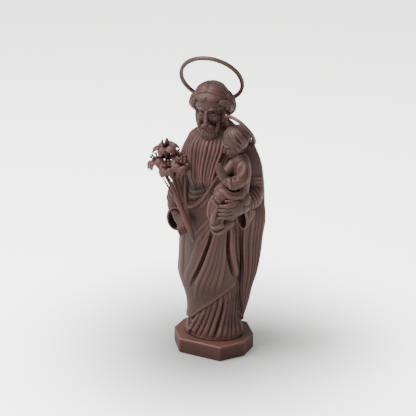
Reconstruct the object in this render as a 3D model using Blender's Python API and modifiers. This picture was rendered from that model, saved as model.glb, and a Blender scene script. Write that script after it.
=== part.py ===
# Saint Joseph statue: a figure group on an octagonal plinth, with a lily spray and two halo rings.
# Metres, +Z up. The figure looks along -Y, and the origin is under the middle of the plinth.
import math

import bmesh
import bpy
import numpy as np
from mathutils import Euler, Matrix, Vector

# Driving sizes, in metres
FIGURE_HEIGHT = 0.265      # plinth top to the crown of the head
PLINTH_WIDTH = 0.080
PLINTH_DEPTH = 0.066
PLINTH_HEIGHT = 0.016
CORNER_ALONG_FRONT = 0.017
CORNER_ALONG_SIDE = 0.0217
PLINTH_EDGE = 0.0012       # rounding of the plinth's edges
SEAT_GAP = 0.0003          # clearance where one piece rests on another
CLEARANCE = 0.0004         # clearance where a ring or a stem is let into the figure
HALO_RADIUS = 0.0300
HALO_BAND = 0.0034         # width of the flat ring
HALO_THICKNESS = 0.0024
CHILD_HALO_RADIUS = 0.0180
CHILD_HALO_BAND = 0.0030
CHILD_HALO_THICKNESS = 0.0022
RING_EDGE = 0.0005         # chamfer of the rings' edges
STEM_RADIUS = 0.0015

# The figure's own measure: every free form is a number of these units
UNIT = FIGURE_HEIGHT / 265
VOXEL = 1.1                # grid that fuses the forms, in units
HEAD_VOXEL = 0.8
LILY_VOXEL = 0.7
FIGURE_TRIANGLES = 6500
LILY_TRIANGLES = 1700
RING_STEPS = 36
ARC = 0.5                  # units round the body for each degree

# Tunic: height, centre x, centre y, half width, half depth
TUNIC = (
    (-3, 0, 0, 32, 25.5), (3, 0, 0, 31.5, 25), (9, 0, 0, 29.5, 24), (18, 0, 0, 26.5, 22.5),
    (30, 0, 0, 25.5, 22), (40, -0.5, 0, 26.5, 22.5), (52, -1.5, 0, 29.5, 24), (66, -2, -1, 32, 25.4),
    (84, -1, -1, 31.5, 25.5), (104, -0.5, -1, 31, 25.5), (125, 0, 0, 31, 24.5), (145, 0, 0, 28, 21.5),
    (156, 0, 0, 26.5, 20), (172, 1, 1, 30, 21.5), (190, 3, 1, 33, 20), (199, 4.5, 1, 34.5, 18.5),
    (209, 5, 1, 31, 16), (217, 5, 0, 21, 13), (224, 3, -2, 12, 11), (230, 1, -3, 9, 9),
)
# Cloak: height, centre y, reach to the left, to the right, to the front and to the back
CLOAK = (
    (4, 3, 28, 31, 6, 21), (20, 3, 27.5, 32, 7, 22), (34, 3, 27, 34, 8, 23), (53, 3, 29, 37.5, 9, 24),
    (72, 3, 31, 43.5, 10, 26), (92, 3, 31.5, 47.5, 11, 27), (112, 3, 32, 50, 13, 27),
    (131, 3, 33, 53, 15, 26), (151, 3, 32, 53.5, 16, 25), (171, 2.5, 31, 52.5, 16, 23),
    (191, 2, 31, 49, 15, 20), (199, 2, 31, 45.5, 14, 18),
    (209, 2, 28, 40, 12.5, 15), (218, 1, 17, 29.5, 10, 12), (225, 0, 9, 21, 8, 9), (230, 0, 3, 14, 6, 6),
)
# Lower edge of the cloak: degrees round the body, height
CLOAK_HEM = ((-180, 5), (-90, 14), (0, 26), (50, 26), (92, 20), (130, 9), (180, 5))

# Fold families: first line, last line, how many lines between and including them, half width, height
# and the share of its length over which each end fades. A line's points are (degrees round the body
# from the front, height). A negative height is a groove.
CHEST_PLEATS = (((-38, 206), (-33, 182), (-27, 158)), ((22, 208), (18, 188), (12, 161)), 8, 2.4, 2.8, 0.45)
SHOULDER_PLEATS = (
    ((-80, 200), (-82, 184), (-74, 162)), ((-46, 206), (-46, 186), (-38, 160)), 4, 2.5, 1.4, 0.45,
)
CHEST_SIDE = (((26, 200), (25, 187), (22, 174)), ((40, 196), (36, 184), (28, 172)), 3, 1.9, 1.4, 0.4)
BELT = (((-90, 150), (-40, 149), (20, 158)), ((-90, 155.5), (-40, 154.5), (20, 164)), 2, 1.8, 1.5, 0.2)
HEM_FOLDS = (
    ((-8, 31), (-19, 21), (-28, 12), (-38, 1)), ((42, 52), (36, 36), (26, 20), (12, 1)), 5, 2.9, 2.4, 0.25,
)
HEM_SIDE = (
    ((50, 54), (50, 36), (42, 20), (28, 1)), ((82, 66), (86, 40), (82, 20), (74, 1)), 5, 2.7, 2.3, 0.2,
)
FOOT_SWIRLS = (((-62, 15), (-42, 6), (-20, 9)), ((-52, 24), (-38, 16), (-22, 19)), 2, 2.2, 1.6, 0.4)
BACK_FOLDS = (((96, 60), (98, 30), (98, -3)), ((264, 60), (262, 30), (262, -3)), 12, 3.4, 1.6, 0.25)
APRON_BANK = (
    ((17, 126), (9, 108), (-2, 90), (-16, 70)), ((6, 122), (-2, 106), (-12, 90), (-26, 72)), 2, 3.6, 1.4, 0.5,
)
APRON_CREASE = (((21, 130), (17, 112), (11, 100), (1, 84), (-9, 69), (-22, 54)),) * 2 + (1, 2.6, -2.8, 0.5)
APRON_FAN = (
    ((25, 128), (21, 108), (10, 84), (-8, 56)), ((44, 126), (43, 100), (40, 76), (34, 56)), 4, 2.5, 1.4, 0.4,
)
APRON_SIDE_CREASE = (((49, 128), (49, 106), (52, 91), (63, 70)),) * 2 + (1, 2.0, -2.2, 0.3)
APRON_SIDE_FOLD = (((56, 126), (58, 102), (63, 84), (70, 70)),) * 2 + (1, 3.4, 2.6, 0.3)
APRON_ROLL = (((-64, 138), (-29, 141), (-8, 148.5), (7, 158), (21, 174)),) * 2 + (1, 2.4, 2.0, 0.2)
APRON_UNDER_ROLL = (
    ((-20, 137), (-4, 142), (10, 151), (24, 166)),
    ((-10, 133), (2, 137), (14, 145), (26, 158)), 2, 2.2, 1.3, 0.5,
)
LAP_FOLDS = (((10, 137), (-2, 129), (-18, 117)), ((23, 131), (13, 120), (-4, 103)), 3, 2.2, 1.2, 0.5)
HIP_FOLDS = (((-40, 134), (-48, 100), (-44, 52)), ((-84, 128), (-82, 96), (-70, 44)), 3, 4.4, 1.2, 0.4)
CLOAK_FOLDS = (
    ((50, 146), (50, 118), (52, 92), (66, 52), (82, 22)),
    ((90, 150), (92, 118), (96, 92), (106, 56), (112, 16)), 6, 2.7, 2.7, 0.2,
)
CLOAK_FRONT = (((42, 130), (44, 118), (47, 90), (58, 53), (76, 24)),) * 2 + (1, 2.2, 1.8, 0.2)
FOREARM_FOLDS = (((44, 151), (53, 155), (58, 145)), ((52, 160), (72, 156), (77, 142)), 3, 1.8, 1.2, 0.4)
CLOAK_BACK = (((128, 198), (126, 100), (126, 8)), ((300, 196), (296, 100), (292, 30)), 13, 4.0, 1.9, 0.3)

# Front wrap of the cloak: degrees round the body, lower hem, upper edge
APRON_EDGES = (
    (-180, 10, 160), (-110, 14, 148), (-75, 16, 141), (-50, 17, 142), (-33, 19.5, 145), (-5, 31.5, 153),
    (10, 37, 163), (22, 42, 178), (36, 48, 184), (55, 56, 184), (70, 65, 184), (76, 80, 184),
    (84, 140, 184), (110, 150, 180), (180, 10, 160),
)
APRON_DEPTH = 2.6          # how far the wrap stands off the tunic


def smooth_rows(rows, at):
    """Columns of a table as smooth curves of its first column."""
    table = np.array(rows, float)
    at = np.clip(at, table[0, 0], table[-1, 0])
    row = np.clip(np.searchsorted(table[:, 0], at, side="right") - 1, 0, len(table) - 2)
    slopes = np.gradient(table[:, 1:], table[:, 0], axis=0)
    low, high = table[row, 0], table[row + 1, 0]
    span = (high - low)[..., None]
    share = ((at - low) / (high - low))[..., None]
    square, cube = share ** 2, share ** 3
    return (
        (2 * cube - 3 * square + 1) * table[row, 1:]
        + (cube - 2 * square + share) * span * slopes[row]
        + (3 * square - 2 * cube) * table[row + 1, 1:]
        + (cube - square) * span * slopes[row + 1]
    )


def smooth_line(points, steps=24):
    """A polyline through hand-placed points, resampled as one smooth curve."""
    points = np.array(points, float)
    knots = np.arange(len(points), dtype=float)
    rows = np.column_stack([knots, points])
    return smooth_rows(rows, np.linspace(0, len(points) - 1, steps))


def lines_between(first, last, count):
    """A family of lines that runs evenly from the first to the last."""
    first, last = np.array(first, float), np.array(last, float)
    return [first + (last - first) * share for share in np.linspace(0, 1, count)]


def relief(points, line, half_width, height, taper):
    """Height of one rounded fold at each point, measured from its centre line."""
    line = smooth_line(line)
    low, high = line.min(0) - half_width, line.max(0) + half_width
    near = np.all((points > low) & (points < high), axis=-1)
    raised = np.zeros(points.shape[:-1])
    if not near.any():
        return raised
    chosen = points[near]
    starts, ends = line[:-1], line[1:]
    runs = ends - starts
    share = np.einsum("psk,sk->ps", chosen[:, None] - starts, runs) / (runs ** 2).sum(1)
    share = np.clip(share, 0, 1)
    gaps = np.linalg.norm(chosen[:, None] - starts - share[..., None] * runs, axis=2)
    best = gaps.argmin(1)
    rows = np.arange(len(best))
    along = (best + share[rows, best]) / len(runs)
    ends_fade = np.sin(np.clip(np.minimum(along, 1 - along) / taper, 0, 1) * math.pi / 2)
    across = np.clip(1 - (gaps[rows, best] / half_width) ** 2, 0, 1)
    raised[near] = height * ends_fade * np.sqrt(across)
    return raised


def family_relief(degrees, heights, family):
    """All folds of a family on a surface given by degrees round the body and height.

    The folds differ a little in width and height, so that they don't look ruled.
    """
    first, last, count, half_width, height, taper = family
    total = np.zeros(degrees.shape)
    for turn in (-360, 0, 360):
        points = np.stack([(degrees + turn) * ARC, heights], axis=-1)
        for index, line in enumerate(lines_between(first, last, count)):
            width = half_width * (1 + 0.12 * math.sin(2.4 * index))
            rise = abs(height) * (1 + 0.22 * math.sin(1.7 * index + 1))
            total = np.maximum(total, relief(points, line * (ARC, 1), width, rise, taper))
    return math.copysign(1, height) * total


def sheet_object(name, around, along, place):
    """A closed skin from a grid: place gives a point for each share round and share along."""
    clay = bmesh.new()
    bmesh.ops.create_grid(clay, x_segments=around, y_segments=along, size=0.5)
    spots = np.array([vertex.co for vertex in clay.verts]) + 0.5
    for vertex, point in zip(clay.verts, place(spots[:, 0], spots[:, 1])):
        vertex.co = point
    bmesh.ops.remove_doubles(clay, verts=clay.verts, dist=0.01)
    bmesh.ops.holes_fill(clay, edges=[e for e in clay.edges if e.is_boundary], sides=0)
    bmesh.ops.triangulate(clay, faces=[f for f in clay.faces if len(f.verts) > 4])
    bmesh.ops.recalc_face_normals(clay, faces=clay.faces)
    return object_of(name, clay)


def object_of(name, clay):
    mesh = bpy.data.meshes.new(name)
    clay.to_mesh(mesh)
    clay.free()
    return bpy.data.objects.new(name, mesh)


def wrapped(section, degrees):
    """Point and outward direction on an oval section at an angle from the front."""
    angle = np.radians(degrees)
    centre_x, centre_y, left, right, front, back = section.T
    width = np.where(np.sin(angle) < 0, left, right)
    depth = np.where(np.cos(angle) > 0, front, back)
    point = np.column_stack([centre_x + width * np.sin(angle), centre_y - depth * np.cos(angle)])
    outward = np.column_stack([np.sin(angle) / width, -np.cos(angle) / depth])
    return point, outward / np.linalg.norm(outward, axis=1)[:, None]


def tunic_section(heights):
    centre_x, centre_y, width, depth = smooth_rows(TUNIC, heights).T
    return np.column_stack([centre_x, centre_y, width, width, depth, depth])


def cloak_section(heights):
    section = smooth_rows(CLOAK, heights)
    return np.column_stack([np.zeros(len(section)), section])


def draped(name, section, edges, families, depth, around, along):
    """A garment: its section at each height, its lower and upper edge, its folds and its stand-off."""
    def place(round_share, height_share):
        degrees = round_share * 360 - 180
        low, high = edges(degrees)
        heights = low + height_share * (high - low)
        point, outward = wrapped(section(heights), degrees)
        offset = depth + sum(family_relief(degrees, heights, family) for family in families)
        rim = np.clip(np.minimum(height_share, 1 - height_share) / 0.012, 0.6, 1)
        return np.column_stack([point + outward * (offset * rim)[:, None], heights])

    return sheet_object(name, around, along, place)


def tunic():
    def edges(degrees):
        return np.full(len(degrees), TUNIC[0][0]), np.full(len(degrees), TUNIC[-1][0])

    families = (
        CHEST_PLEATS, CHEST_SIDE, SHOULDER_PLEATS, BELT, HEM_FOLDS, HEM_SIDE, FOOT_SWIRLS, BACK_FOLDS,
    )
    return draped("tunic", tunic_section, edges, families, -1, 240, 200)


def apron():
    def edges(degrees):
        return smooth_rows(APRON_EDGES, degrees).T

    families = (
        APRON_BANK, APRON_CREASE, APRON_FAN, APRON_SIDE_CREASE, APRON_SIDE_FOLD, APRON_ROLL,
        APRON_UNDER_ROLL, LAP_FOLDS, HIP_FOLDS,
    )
    return draped("apron", tunic_section, edges, families, APRON_DEPTH, 220, 150)


def cloak():
    def edges(degrees):
        return smooth_rows(CLOAK_HEM, degrees)[:, 0], np.full(len(degrees), CLOAK[-1][0])

    families = (CLOAK_FOLDS, CLOAK_FRONT, FOREARM_FOLDS, CLOAK_BACK)
    return draped("cloak", cloak_section, edges, families, -1, 240, 170)


def ball(name, centre, radii, turn=(0, 0, 0), detail=3):
    clay = bmesh.new()
    shape = (
        Matrix.Translation(centre)
        @ Euler([math.radians(angle) for angle in turn]).to_matrix().to_4x4()
        @ Matrix.Diagonal((*radii, 1))
    )
    bmesh.ops.create_icosphere(clay, subdivisions=detail, radius=1, matrix=shape)
    return object_of(name, clay)


def limb(name, points, radii, flat=1.0, side=(1, 0, 0), around=20, steps=22):
    """A rounded limb through points; flat squeezes it across its side direction."""
    path = smooth_line(points, steps)
    spots = np.linspace(0, len(radii) - 1, steps)
    widths = smooth_rows(list(enumerate(radii)), spots)[:, 0]
    ahead = np.gradient(path, axis=0)
    ahead /= np.linalg.norm(ahead, axis=1)[:, None]
    across = np.array(side, float) - ahead * (ahead @ np.array(side, float))[:, None]
    across /= np.linalg.norm(across, axis=1)[:, None]
    over = np.cross(ahead, across)

    def place(round_share, along_share):
        ring = np.round(along_share * (steps + 3)).astype(int)
        inner = np.clip(ring - 2, 0, steps - 1)
        # The two rings past each end close it as a dome
        past = np.where(ring < 2, 2 - ring, np.where(ring > steps + 1, ring - steps - 1, 0)) / 2
        way = np.where(ring < 2, -1, 1)
        dome = np.sin(np.minimum(past, 1) * math.pi / 2)
        shrink = np.cos(np.minimum(past, 1) * math.pi / 2)
        angle = round_share * 2 * math.pi
        width = widths[inner] * shrink
        return (
            path[inner]
            + ahead[inner] * (way * dome * widths[inner] * 0.8)[:, None]
            + across[inner] * (np.cos(angle) * width)[:, None]
            + over[inner] * (np.sin(angle) * width * flat)[:, None]
        )

    return sheet_object(name, around, steps + 3, place)


def both_sides(points):
    """A row of points and its mirror image across the middle plane."""
    return [tuple(points), tuple((-x, y, z) for x, y, z in points)]


def fused(name, objects, voxel, smoothing=1):
    """One closed skin round all the given forms."""
    clay = bmesh.new()
    for source in objects:
        clay.from_mesh(source.data)
        bpy.data.objects.remove(source)
    body = object_of(name, clay)
    bpy.context.scene.collection.objects.link(body)
    remesh = body.modifiers.new("Fuse", "REMESH")
    remesh.mode = "VOXEL"
    remesh.voxel_size = voxel
    if smoothing:
        smooth = body.modifiers.new("Soften", "SMOOTH")
        smooth.factor = 0.5
        smooth.iterations = smoothing
    return applied(body)


def applied(body):
    """The object with its modifiers worked into its mesh."""
    graph = bpy.context.evaluated_depsgraph_get()
    mesh = bpy.data.meshes.new_from_object(body.evaluated_get(graph))
    body.modifiers.clear()
    body.data = mesh
    bpy.context.scene.collection.objects.unlink(body)
    return body


def mesh_arrays(mesh):
    points = np.empty(len(mesh.vertices) * 3, np.float32)
    normals = np.empty(len(mesh.vertices) * 3, np.float32)
    mesh.vertices.foreach_get("co", points)
    mesh.vertex_normals.foreach_get("vector", normals)
    return points.reshape(-1, 3).astype(float), normals.reshape(-1, 3).astype(float)


def carve(body, lines, half_width, height, taper=0.35):
    """Raises a rounded line on the skin, or cuts one where the height is negative."""
    points, normals = mesh_arrays(body.data)
    raised = np.zeros(len(points))
    for line in lines:
        raised = np.maximum(raised, relief(points, line, half_width, abs(height), taper))
    points += normals * (math.copysign(1, height) * raised)[:, None]
    body.data.vertices.foreach_set("co", points.astype(np.float32).ravel())
    body.data.update()


# The man's head, in its own measure: origin in the skull, face towards -Y. It bows and turns a little.
HEAD_PLACE = (0.3, -6.5, 243.2)
HEAD_BOW, HEAD_TURN = 22, 8
BROW = ((1.8, -16.6, 2.8), (6, -15.6, 4.2), (10.5, -11.6, 2.6))
SOCKET = ((3.2, -15.6, -0.6), (8.4, -13.6, -0.8))
LID = ((2.8, -15.4, -0.9), (5.4, -15.9, -0.2), (8.4, -13.8, -1.1))
MOUSTACHE = ((0.7, -19.4, -10.8), (4.2, -18.4, -13), (7.2, -15.6, -17.5))
# Two locks down each cheek, from the outer to the inner one
SIDE_BEARD = (
    ((12.6, -3.5, -2), (12, -8.5, -13), (7.4, -14.5, -25)),
    ((9.4, -10.4, -9), (9, -13.6, -16), (6, -17, -25)), 2,
)
# The shell that the hair lies on: centre and radii
HAIR_SHELL = ((0, 2.8, 4.4), (15.4, 16.6, 14.8))
LOCK_SUNK = 0.8            # how far a lock's middle lies inside the shell
# Locks on it, from the parting: first line, last line, count. Points are (turn from the front, angle
# down from the top)
FRINGE = (
    ((2, 44), (14, 57), (31, 67), (48, 74), (57, 86), (60, 104)),
    ((2, 28), (26, 38), (50, 54), (68, 68), (77, 88), (82, 108)), 3,
)
SWEEP = (
    ((5, 22), (40, 32), (66, 50), (82, 70), (88, 96)),
    ((174, 14), (132, 34), (112, 58), (102, 84), (98, 112)), 6,
)
NAPE = (
    ((174, 16), (136, 44), (118, 76), (110, 104), (108, 124)),
    ((180, 18), (178, 50), (177, 80), (178, 108), (180, 128)), 5,
)
# Tufts at the temples that stand off the head, and the hair that falls to the nape: points and radii
TUFTS = (
    (((14.6, -5, 9.6), (17.4, -6, 4), (18.8, -4.4, -3), (16.8, -3, -9)), (2.2, 3.2, 3.6, 1.9)),
    (((15, 0, 8), (17.6, 1, -1), (18.4, 2, -9), (15.4, 1.5, -14)), (2.6, 3.6, 3.7, 2.1)),
    (((10, 9, 10), (14.6, 11.5, -1), (15.2, 11, -11), (12, 9, -17.5)), (4, 5, 5, 3.2)),
    (((4, 15, 11), (5, 18, -1), (5.5, 17.2, -11), (5, 13.5, -19)), (4, 5, 5, 3.4)),
)


def on_shell(shell, turns, downs, lift=0.0):
    """Points on a head's hair shell, by their turn from the front and their angle down from the top."""
    (centre_x, centre_y, centre_z), (width, depth, height) = shell
    turns, downs = np.radians(turns), np.radians(downs)
    return np.column_stack([
        centre_x + (width + lift) * np.sin(downs) * np.sin(turns),
        centre_y - (depth + lift) * np.sin(downs) * np.cos(turns),
        centre_z + (height + lift) * np.cos(downs),
    ])


def hair(shell, family, radius, wave=1.6):
    """Wavy locks that lie side by side on the shell, on both sides of the parting."""
    made = []
    for index, line in enumerate(lines_between(*family)):
        turns, downs = smooth_line(line, 18).T
        share = np.linspace(0, 1, 18)
        # The parting runs straight over the crown, so a lock that starts beside it starts at the top
        downs = downs * (1 - np.abs(np.sin(np.radians(turns))) * (1 - share) ** 2)
        turns = turns + wave * np.sin(2 * math.pi * (1.6 * share + 0.29 * index)) * share
        path = on_shell(shell, turns, downs, 0.5 * math.sin(index * 2.4) - LOCK_SUNK)
        for side in (1, -1):
            radii = (radius * 0.7, radius, radius, radius * 0.75)
            made.append(limb("lock", path * (side, 1, 1), radii, around=14))
    return made


def head_frame():
    turn = Euler((math.radians(HEAD_BOW), 0, math.radians(HEAD_TURN))).to_matrix().to_4x4()
    return Matrix.Translation(HEAD_PLACE) @ turn


def joseph_head():
    forms = [
        ball("skull", (0, 1.5, 3), (14.2, 16.6, 15.4)),
        ball("hair cap", *HAIR_SHELL),
        ball("face", (0, -5, -7), (11.6, 11.6, 13.5)),
        ball("chin", (0, -9, -17), (8.6, 8.2, 9)),
        ball("beard", (0, -12.6, -21), (9.8, 7, 9.8)),
        limb("nose", ((0, -16.4, 2), (0, -18.8, -4), (0, -20.6, -8.4)), (1.5, 1.8, 2.2)),
        limb("lower lip", ((-2.6, -17, -14.6), (0, -18.2, -15), (2.6, -17, -14.6)), (0.8, 1.2, 0.8)),
    ]
    for side in (-1, 1):
        forms.append(ball("eye", (side * 5.4, -12.9, -1.2), (3.3, 2.9, 2.5)))
        forms.append(ball("cheek", (side * 6.6, -11.6, -6.4), (4.8, 4.4, 4.6)))
        forms.append(ball("nostril", (side * 1.9, -18, -8.9), (1.5, 1.8, 1.3)))
    for line in both_sides(BROW):
        forms.append(limb("brow", line, (1.3, 1.6, 1)))
    for line in both_sides(MOUSTACHE):
        forms.append(limb("moustache", line, (1.3, 1.8, 1)))
    for line in lines_between(*SIDE_BEARD):
        for side in both_sides(line):
            forms.append(limb("side beard", side, (2.2, 3.2, 2.7)))
    for line, radii in TUFTS:
        for side in both_sides(line):
            forms.append(limb("tuft", side, radii))
    for family, radius in ((FRINGE, 2.6), (SWEEP, 2.8), (NAPE, 2.8)):
        forms += hair(HAIR_SHELL, family, radius)
    for share in np.linspace(-1, 1, 7):
        bulge = 1 - share ** 2
        start = (share * 10, -11.5 - 5.6 * bulge, -13.5 - 3 * bulge)
        middle = (share * 9.4, -14.6 - 5 * bulge, -21.5 - 2 * bulge)
        tip = (share * 5.6, -16.6 - 3 * bulge, -27.5 - 4 * bulge)
        forms.append(limb("beard lock", (start, middle, tip), (1.8, 2.3, 1.1)))
    head = fused("head", forms, HEAD_VOXEL)
    carve(head, both_sides(SOCKET), 2.6, -1.1)
    carve(head, both_sides(LID), 0.9, 0.5)
    head.data.transform(head_frame())
    return head


# The child's head, made the same way: it looks to its right and down
CHILD_HEAD_PLACE = (33, -19.5, 213)
CHILD_BOW, CHILD_TURN = 18, -58
CHILD_SCALE = 0.70
CHILD_HAIR_SHELL = ((0, 3, 5), (16.2, 16.8, 14.8))
# Locks that run out from the crown: how many, how far down at the nape and at the fringe, their swirl
CHILD_LOCKS, NAPE_DOWN, FRINGE_DOWN, SWIRL = 18, 116, 58, 16


def child_head():
    forms = [
        ball("skull", (0, 1.5, 3), (16, 17.4, 16)),
        ball("face", (0, -6, -7), (12.5, 11.5, 12)),
        ball("cheeks", (0, -9, -10), (10.5, 7.5, 6.5)),
        ball("chin", (0, -11.5, -15.5), (4.6, 4.4, 4)),
        limb("nose", ((0, -16.5, -2), (0, -18.6, -6), (0, -19.6, -8.6)), (1.3, 1.6, 2.1)),
        limb("lips", ((-2.4, -16.4, -12.2), (0, -17.6, -12.2), (2.4, -16.4, -12.2)), (0.9, 1.3, 0.9)),
    ]
    for side in (-1, 1):
        forms.append(ball("eye", (side * 5.6, -13.6, -3.4), (3.2, 2.6, 2.4)))
        forms.append(ball("ear", (side * 14.6, -1, -5), (2.4, 3, 4.4)))
    for line in both_sides(((2, -17, -0.4), (6.4, -16, 1), (11, -12.4, -0.6))):
        forms.append(limb("brow", line, (1.1, 1.3, 0.9)))
    forms.append(ball("hair cap", *CHILD_HAIR_SHELL))
    for index, turn in enumerate(np.linspace(-180, 180, CHILD_LOCKS, endpoint=False)):
        lowest = FRINGE_DOWN + (NAPE_DOWN - FRINGE_DOWN) * min(1, abs(turn) / 78)
        shares = np.linspace(0.06, 1, 7)
        turns = turn + SWIRL * shares + 6 * np.sin(shares * 7 + index * 2.1) * shares
        lift = 0.2 + 0.8 * math.sin(index * 2.7) ** 2
        path = on_shell(CHILD_HAIR_SHELL, turns, lowest * shares, lift)
        forms.append(limb("wave", path, (1.8, 2.9, 3.3, 2.8, 1.5), around=14))
    head = fused("child head", forms, HEAD_VOXEL / CHILD_SCALE)
    turn = Euler((math.radians(CHILD_BOW), 0, math.radians(CHILD_TURN))).to_matrix().to_4x4()
    place = Matrix.Translation(CHILD_HEAD_PLACE) @ turn @ Matrix.Scale(CHILD_SCALE, 4)
    head.data.transform(place)
    return head


def fingers(name, knuckles, tips, radii, lift=(0, 0, 0)):
    """Fingers of a hand, each from its knuckle over a raised middle joint to its tip."""
    made = []
    for knuckle, tip in zip(knuckles, tips):
        middle = (Vector(knuckle) + Vector(tip)) / 2 + Vector(lift)
        made.append(limb(name, (knuckle, middle, tip), radii, around=12, steps=12))
    return made


def right_arm():
    """The arm that holds the lilies: sleeve, cuff and hand."""
    forms = [
        limb("upper arm", ((-17, 2, 202), (-25, 2, 187), (-30.5, 2, 166), (-35, 1, 146)), (12, 11.5, 11.5)),
        limb("sleeve", ((-35, 2, 152), (-38, -1, 140), (-39, -5, 130)), (11, 10, 8.5)),
        cuff("cuff", (-38.5, -1, 125.5), (-36.5, -13.5, 119.5), (8.8, 15), (-0.05, -0.2, 0.97)),
        limb("wrist", ((-36, -6, 137), (-35, -14, 132), (-30.5, -20, 126)), (4.6, 4.4, 4.6), 0.8, (0, 0, 1)),
        limb("palm", ((-33, -18, 130), (-28, -23.5, 124), (-23, -28, 119.5)), (5, 6, 5), 0.55, (0.3, 0, 1)),
    ]
    knuckles = [(-22.5 - 1.3 * n, -28.5 + 1.1 * n, 122.5 - 2.4 * n) for n in range(4)]
    tips = [(-9.6 - n, -33.6 + 0.7 * n, 116 - 2.8 * n) for n in range(4)]
    forms += fingers("finger", knuckles, tips, (2.1, 1.9, 1.5), (0, -1, 0.8))
    return forms


def cuff(name, root, lip, radii, up, wall=1.6, depth=0.75, around=40, steps=10):
    """A hollow cuff: a skin that runs from the root to the lip and back inside."""
    root, lip = Vector(root), Vector(lip)
    ahead = (lip - root).normalized()
    up = (Vector(up) - ahead * Vector(up).dot(ahead)).normalized()
    across = up.cross(ahead)

    def place(round_share, along_share):
        angle = round_share * 2 * math.pi
        outer = along_share < 0.5
        share = np.where(outer, along_share * 2, 1 - (along_share * 2 - 1) * depth)
        shrink = np.where(outer, 0, wall)
        flare = 0.72 + 0.28 * share
        closing = np.where((along_share < 1e-6) | (along_share > 1 - 1e-6), 0, 1)
        wide = (radii[0] * flare - shrink) * closing
        tall = (radii[1] * flare - shrink) * closing
        middle = np.array(root) + np.outer(share, np.array(lip - root))
        return (
            middle
            + np.outer(np.cos(angle) * wide, np.array(across))
            + np.outer(np.sin(angle) * tall, np.array(up))
        )

    return sheet_object(name, around, 2 * steps, place)


def left_arm():
    """The cloaked arm that carries the child, with its hanging cuff and hand."""
    forms = [
        limb("upper arm", ((26, 3, 206), (34, 4, 192), (38, 4, 176), (40, 3, 160)), (10, 11, 11, 11.5)),
        limb("forearm", ((40, 4, 158), (43, -6, 155), (41, -17, 151)), (12, 10.5, 8.5)),
        cuff("cuff", (43, -10, 143), (40, -24, 137), (6.8, 14), (0.1, 0.2, 1)),
        limb("wrist", ((43, -15, 151), (46, -25, 150.5), (45.5, -33, 152)), (5, 4.6, 5), 0.8, (0, 0, 1)),
        limb("palm", ((45.5, -30, 151.5), (44.5, -37, 153), (42, -42, 154)), (5.2, 6.6, 6.2), 0.5, (0, 0, 1)),
        limb("thumb", ((45, -34, 157), (40.5, -42, 161.5), (35.5, -47, 162.5)), (2.6, 2.3, 1.5), around=12),
    ]
    knuckles = [(42 - 0.3 * n, -43, 159.4 - 3.4 * n) for n in range(4)]
    tips = [(29.9 - 0.5 * n, -49, 157.6 - 4.1 * n) for n in range(4)]
    forms += fingers("finger", knuckles, tips, (2.3, 2.1, 1.5), (1.2, -2.6, 0))
    return forms


def child_body():
    facing = (1, 1, 0)
    return [
        limb("neck", ((34, -20, 204), (35.5, -20, 198)), (5.2, 5.6)),
        limb("torso", ((37, -20, 197), (38.5, -20, 187), (38.5, -22, 176), (37, -24, 166)), (9, 10, 9.6, 11)),
        limb("near shoulder", ((42, -24, 193), (44, -28, 184), (39, -33, 174)), (6, 5.8, 5.4)),
        limb("near forearm", ((39, -33, 174), (32, -38, 177), (26.5, -40, 184)), (5.4, 4.4, 3.2)),
        limb("far arm", ((32, -24, 192), (25, -34, 182), (23.5, -38, 186)), (5.6, 4.6, 3)),
        limb("near hand", ((26.5, -40, 184), (24.5, -41, 189), (23, -41.5, 195)), (2.8, 3, 1.4), 0.6, facing),
        limb("far hand", ((23.4, -38, 185), (22, -39.4, 190), (20, -40, 195)), (2.7, 2.8, 1.3), 0.6, facing),
        limb("near thigh", ((38, -27, 165), (30, -36, 165), (21, -43, 165)), (10.5, 9.5, 8)),
        limb("far thigh", ((30, -20, 165), (22, -31, 168), (14, -38, 168)), (9, 8.6, 7)),
        limb("near shin", ((21, -42, 163), (21, -43, 151), (24, -41, 137)), (8, 8.6, 8)),
        limb("far shin", ((15, -37, 166), (13.5, -38, 153), (17, -37, 139)), (7, 7.4, 7)),
        limb("gown hem", ((15, -38, 139), (25, -42, 132), (34, -36, 138)), (6.4, 7.4, 6.4)),
        limb("seat", ((42, -24, 160), (38, -32, 152), (32, -36, 144)), (9, 8.6, 7)),
    ]


# Strokes on the fused figure: lines, half width and height, in units
GOWN_FOLDS = (
    ((30, -47, 166), (20, -51, 158), (13, -47, 144)), ((33, -46, 160), (25, -51, 148), (18, -49, 134)),
    ((14, -46, 168), (11, -45, 156), (10, -43, 142)), ((36, -44, 152), (33, -47, 142), (28, -48, 130)),
)
GOWN_SWAGS = (
    ((12, -46, 138), (20, -49, 131), (30, -47, 138)), ((14, -44, 131), (22, -48, 125), (31, -44, 132)),
)
GOWN_SLEEVE = (
    ((47, -29, 186), (44, -34, 179), (38, -38, 176)), ((43, -30, 190), (38, -33, 184), (34, -38, 181)),
)
GOWN_BACK = (
    ((49, -22, 190), (50, -22, 176), (46, -26, 164)), ((46, -27, 172), (38, -35, 169), (30, -40, 168)),
)
CLOAK_GAP = (((36, -16, 122), (34, -13, 90), (30.5, -10, 55), (28, -9, 28)),)


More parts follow.
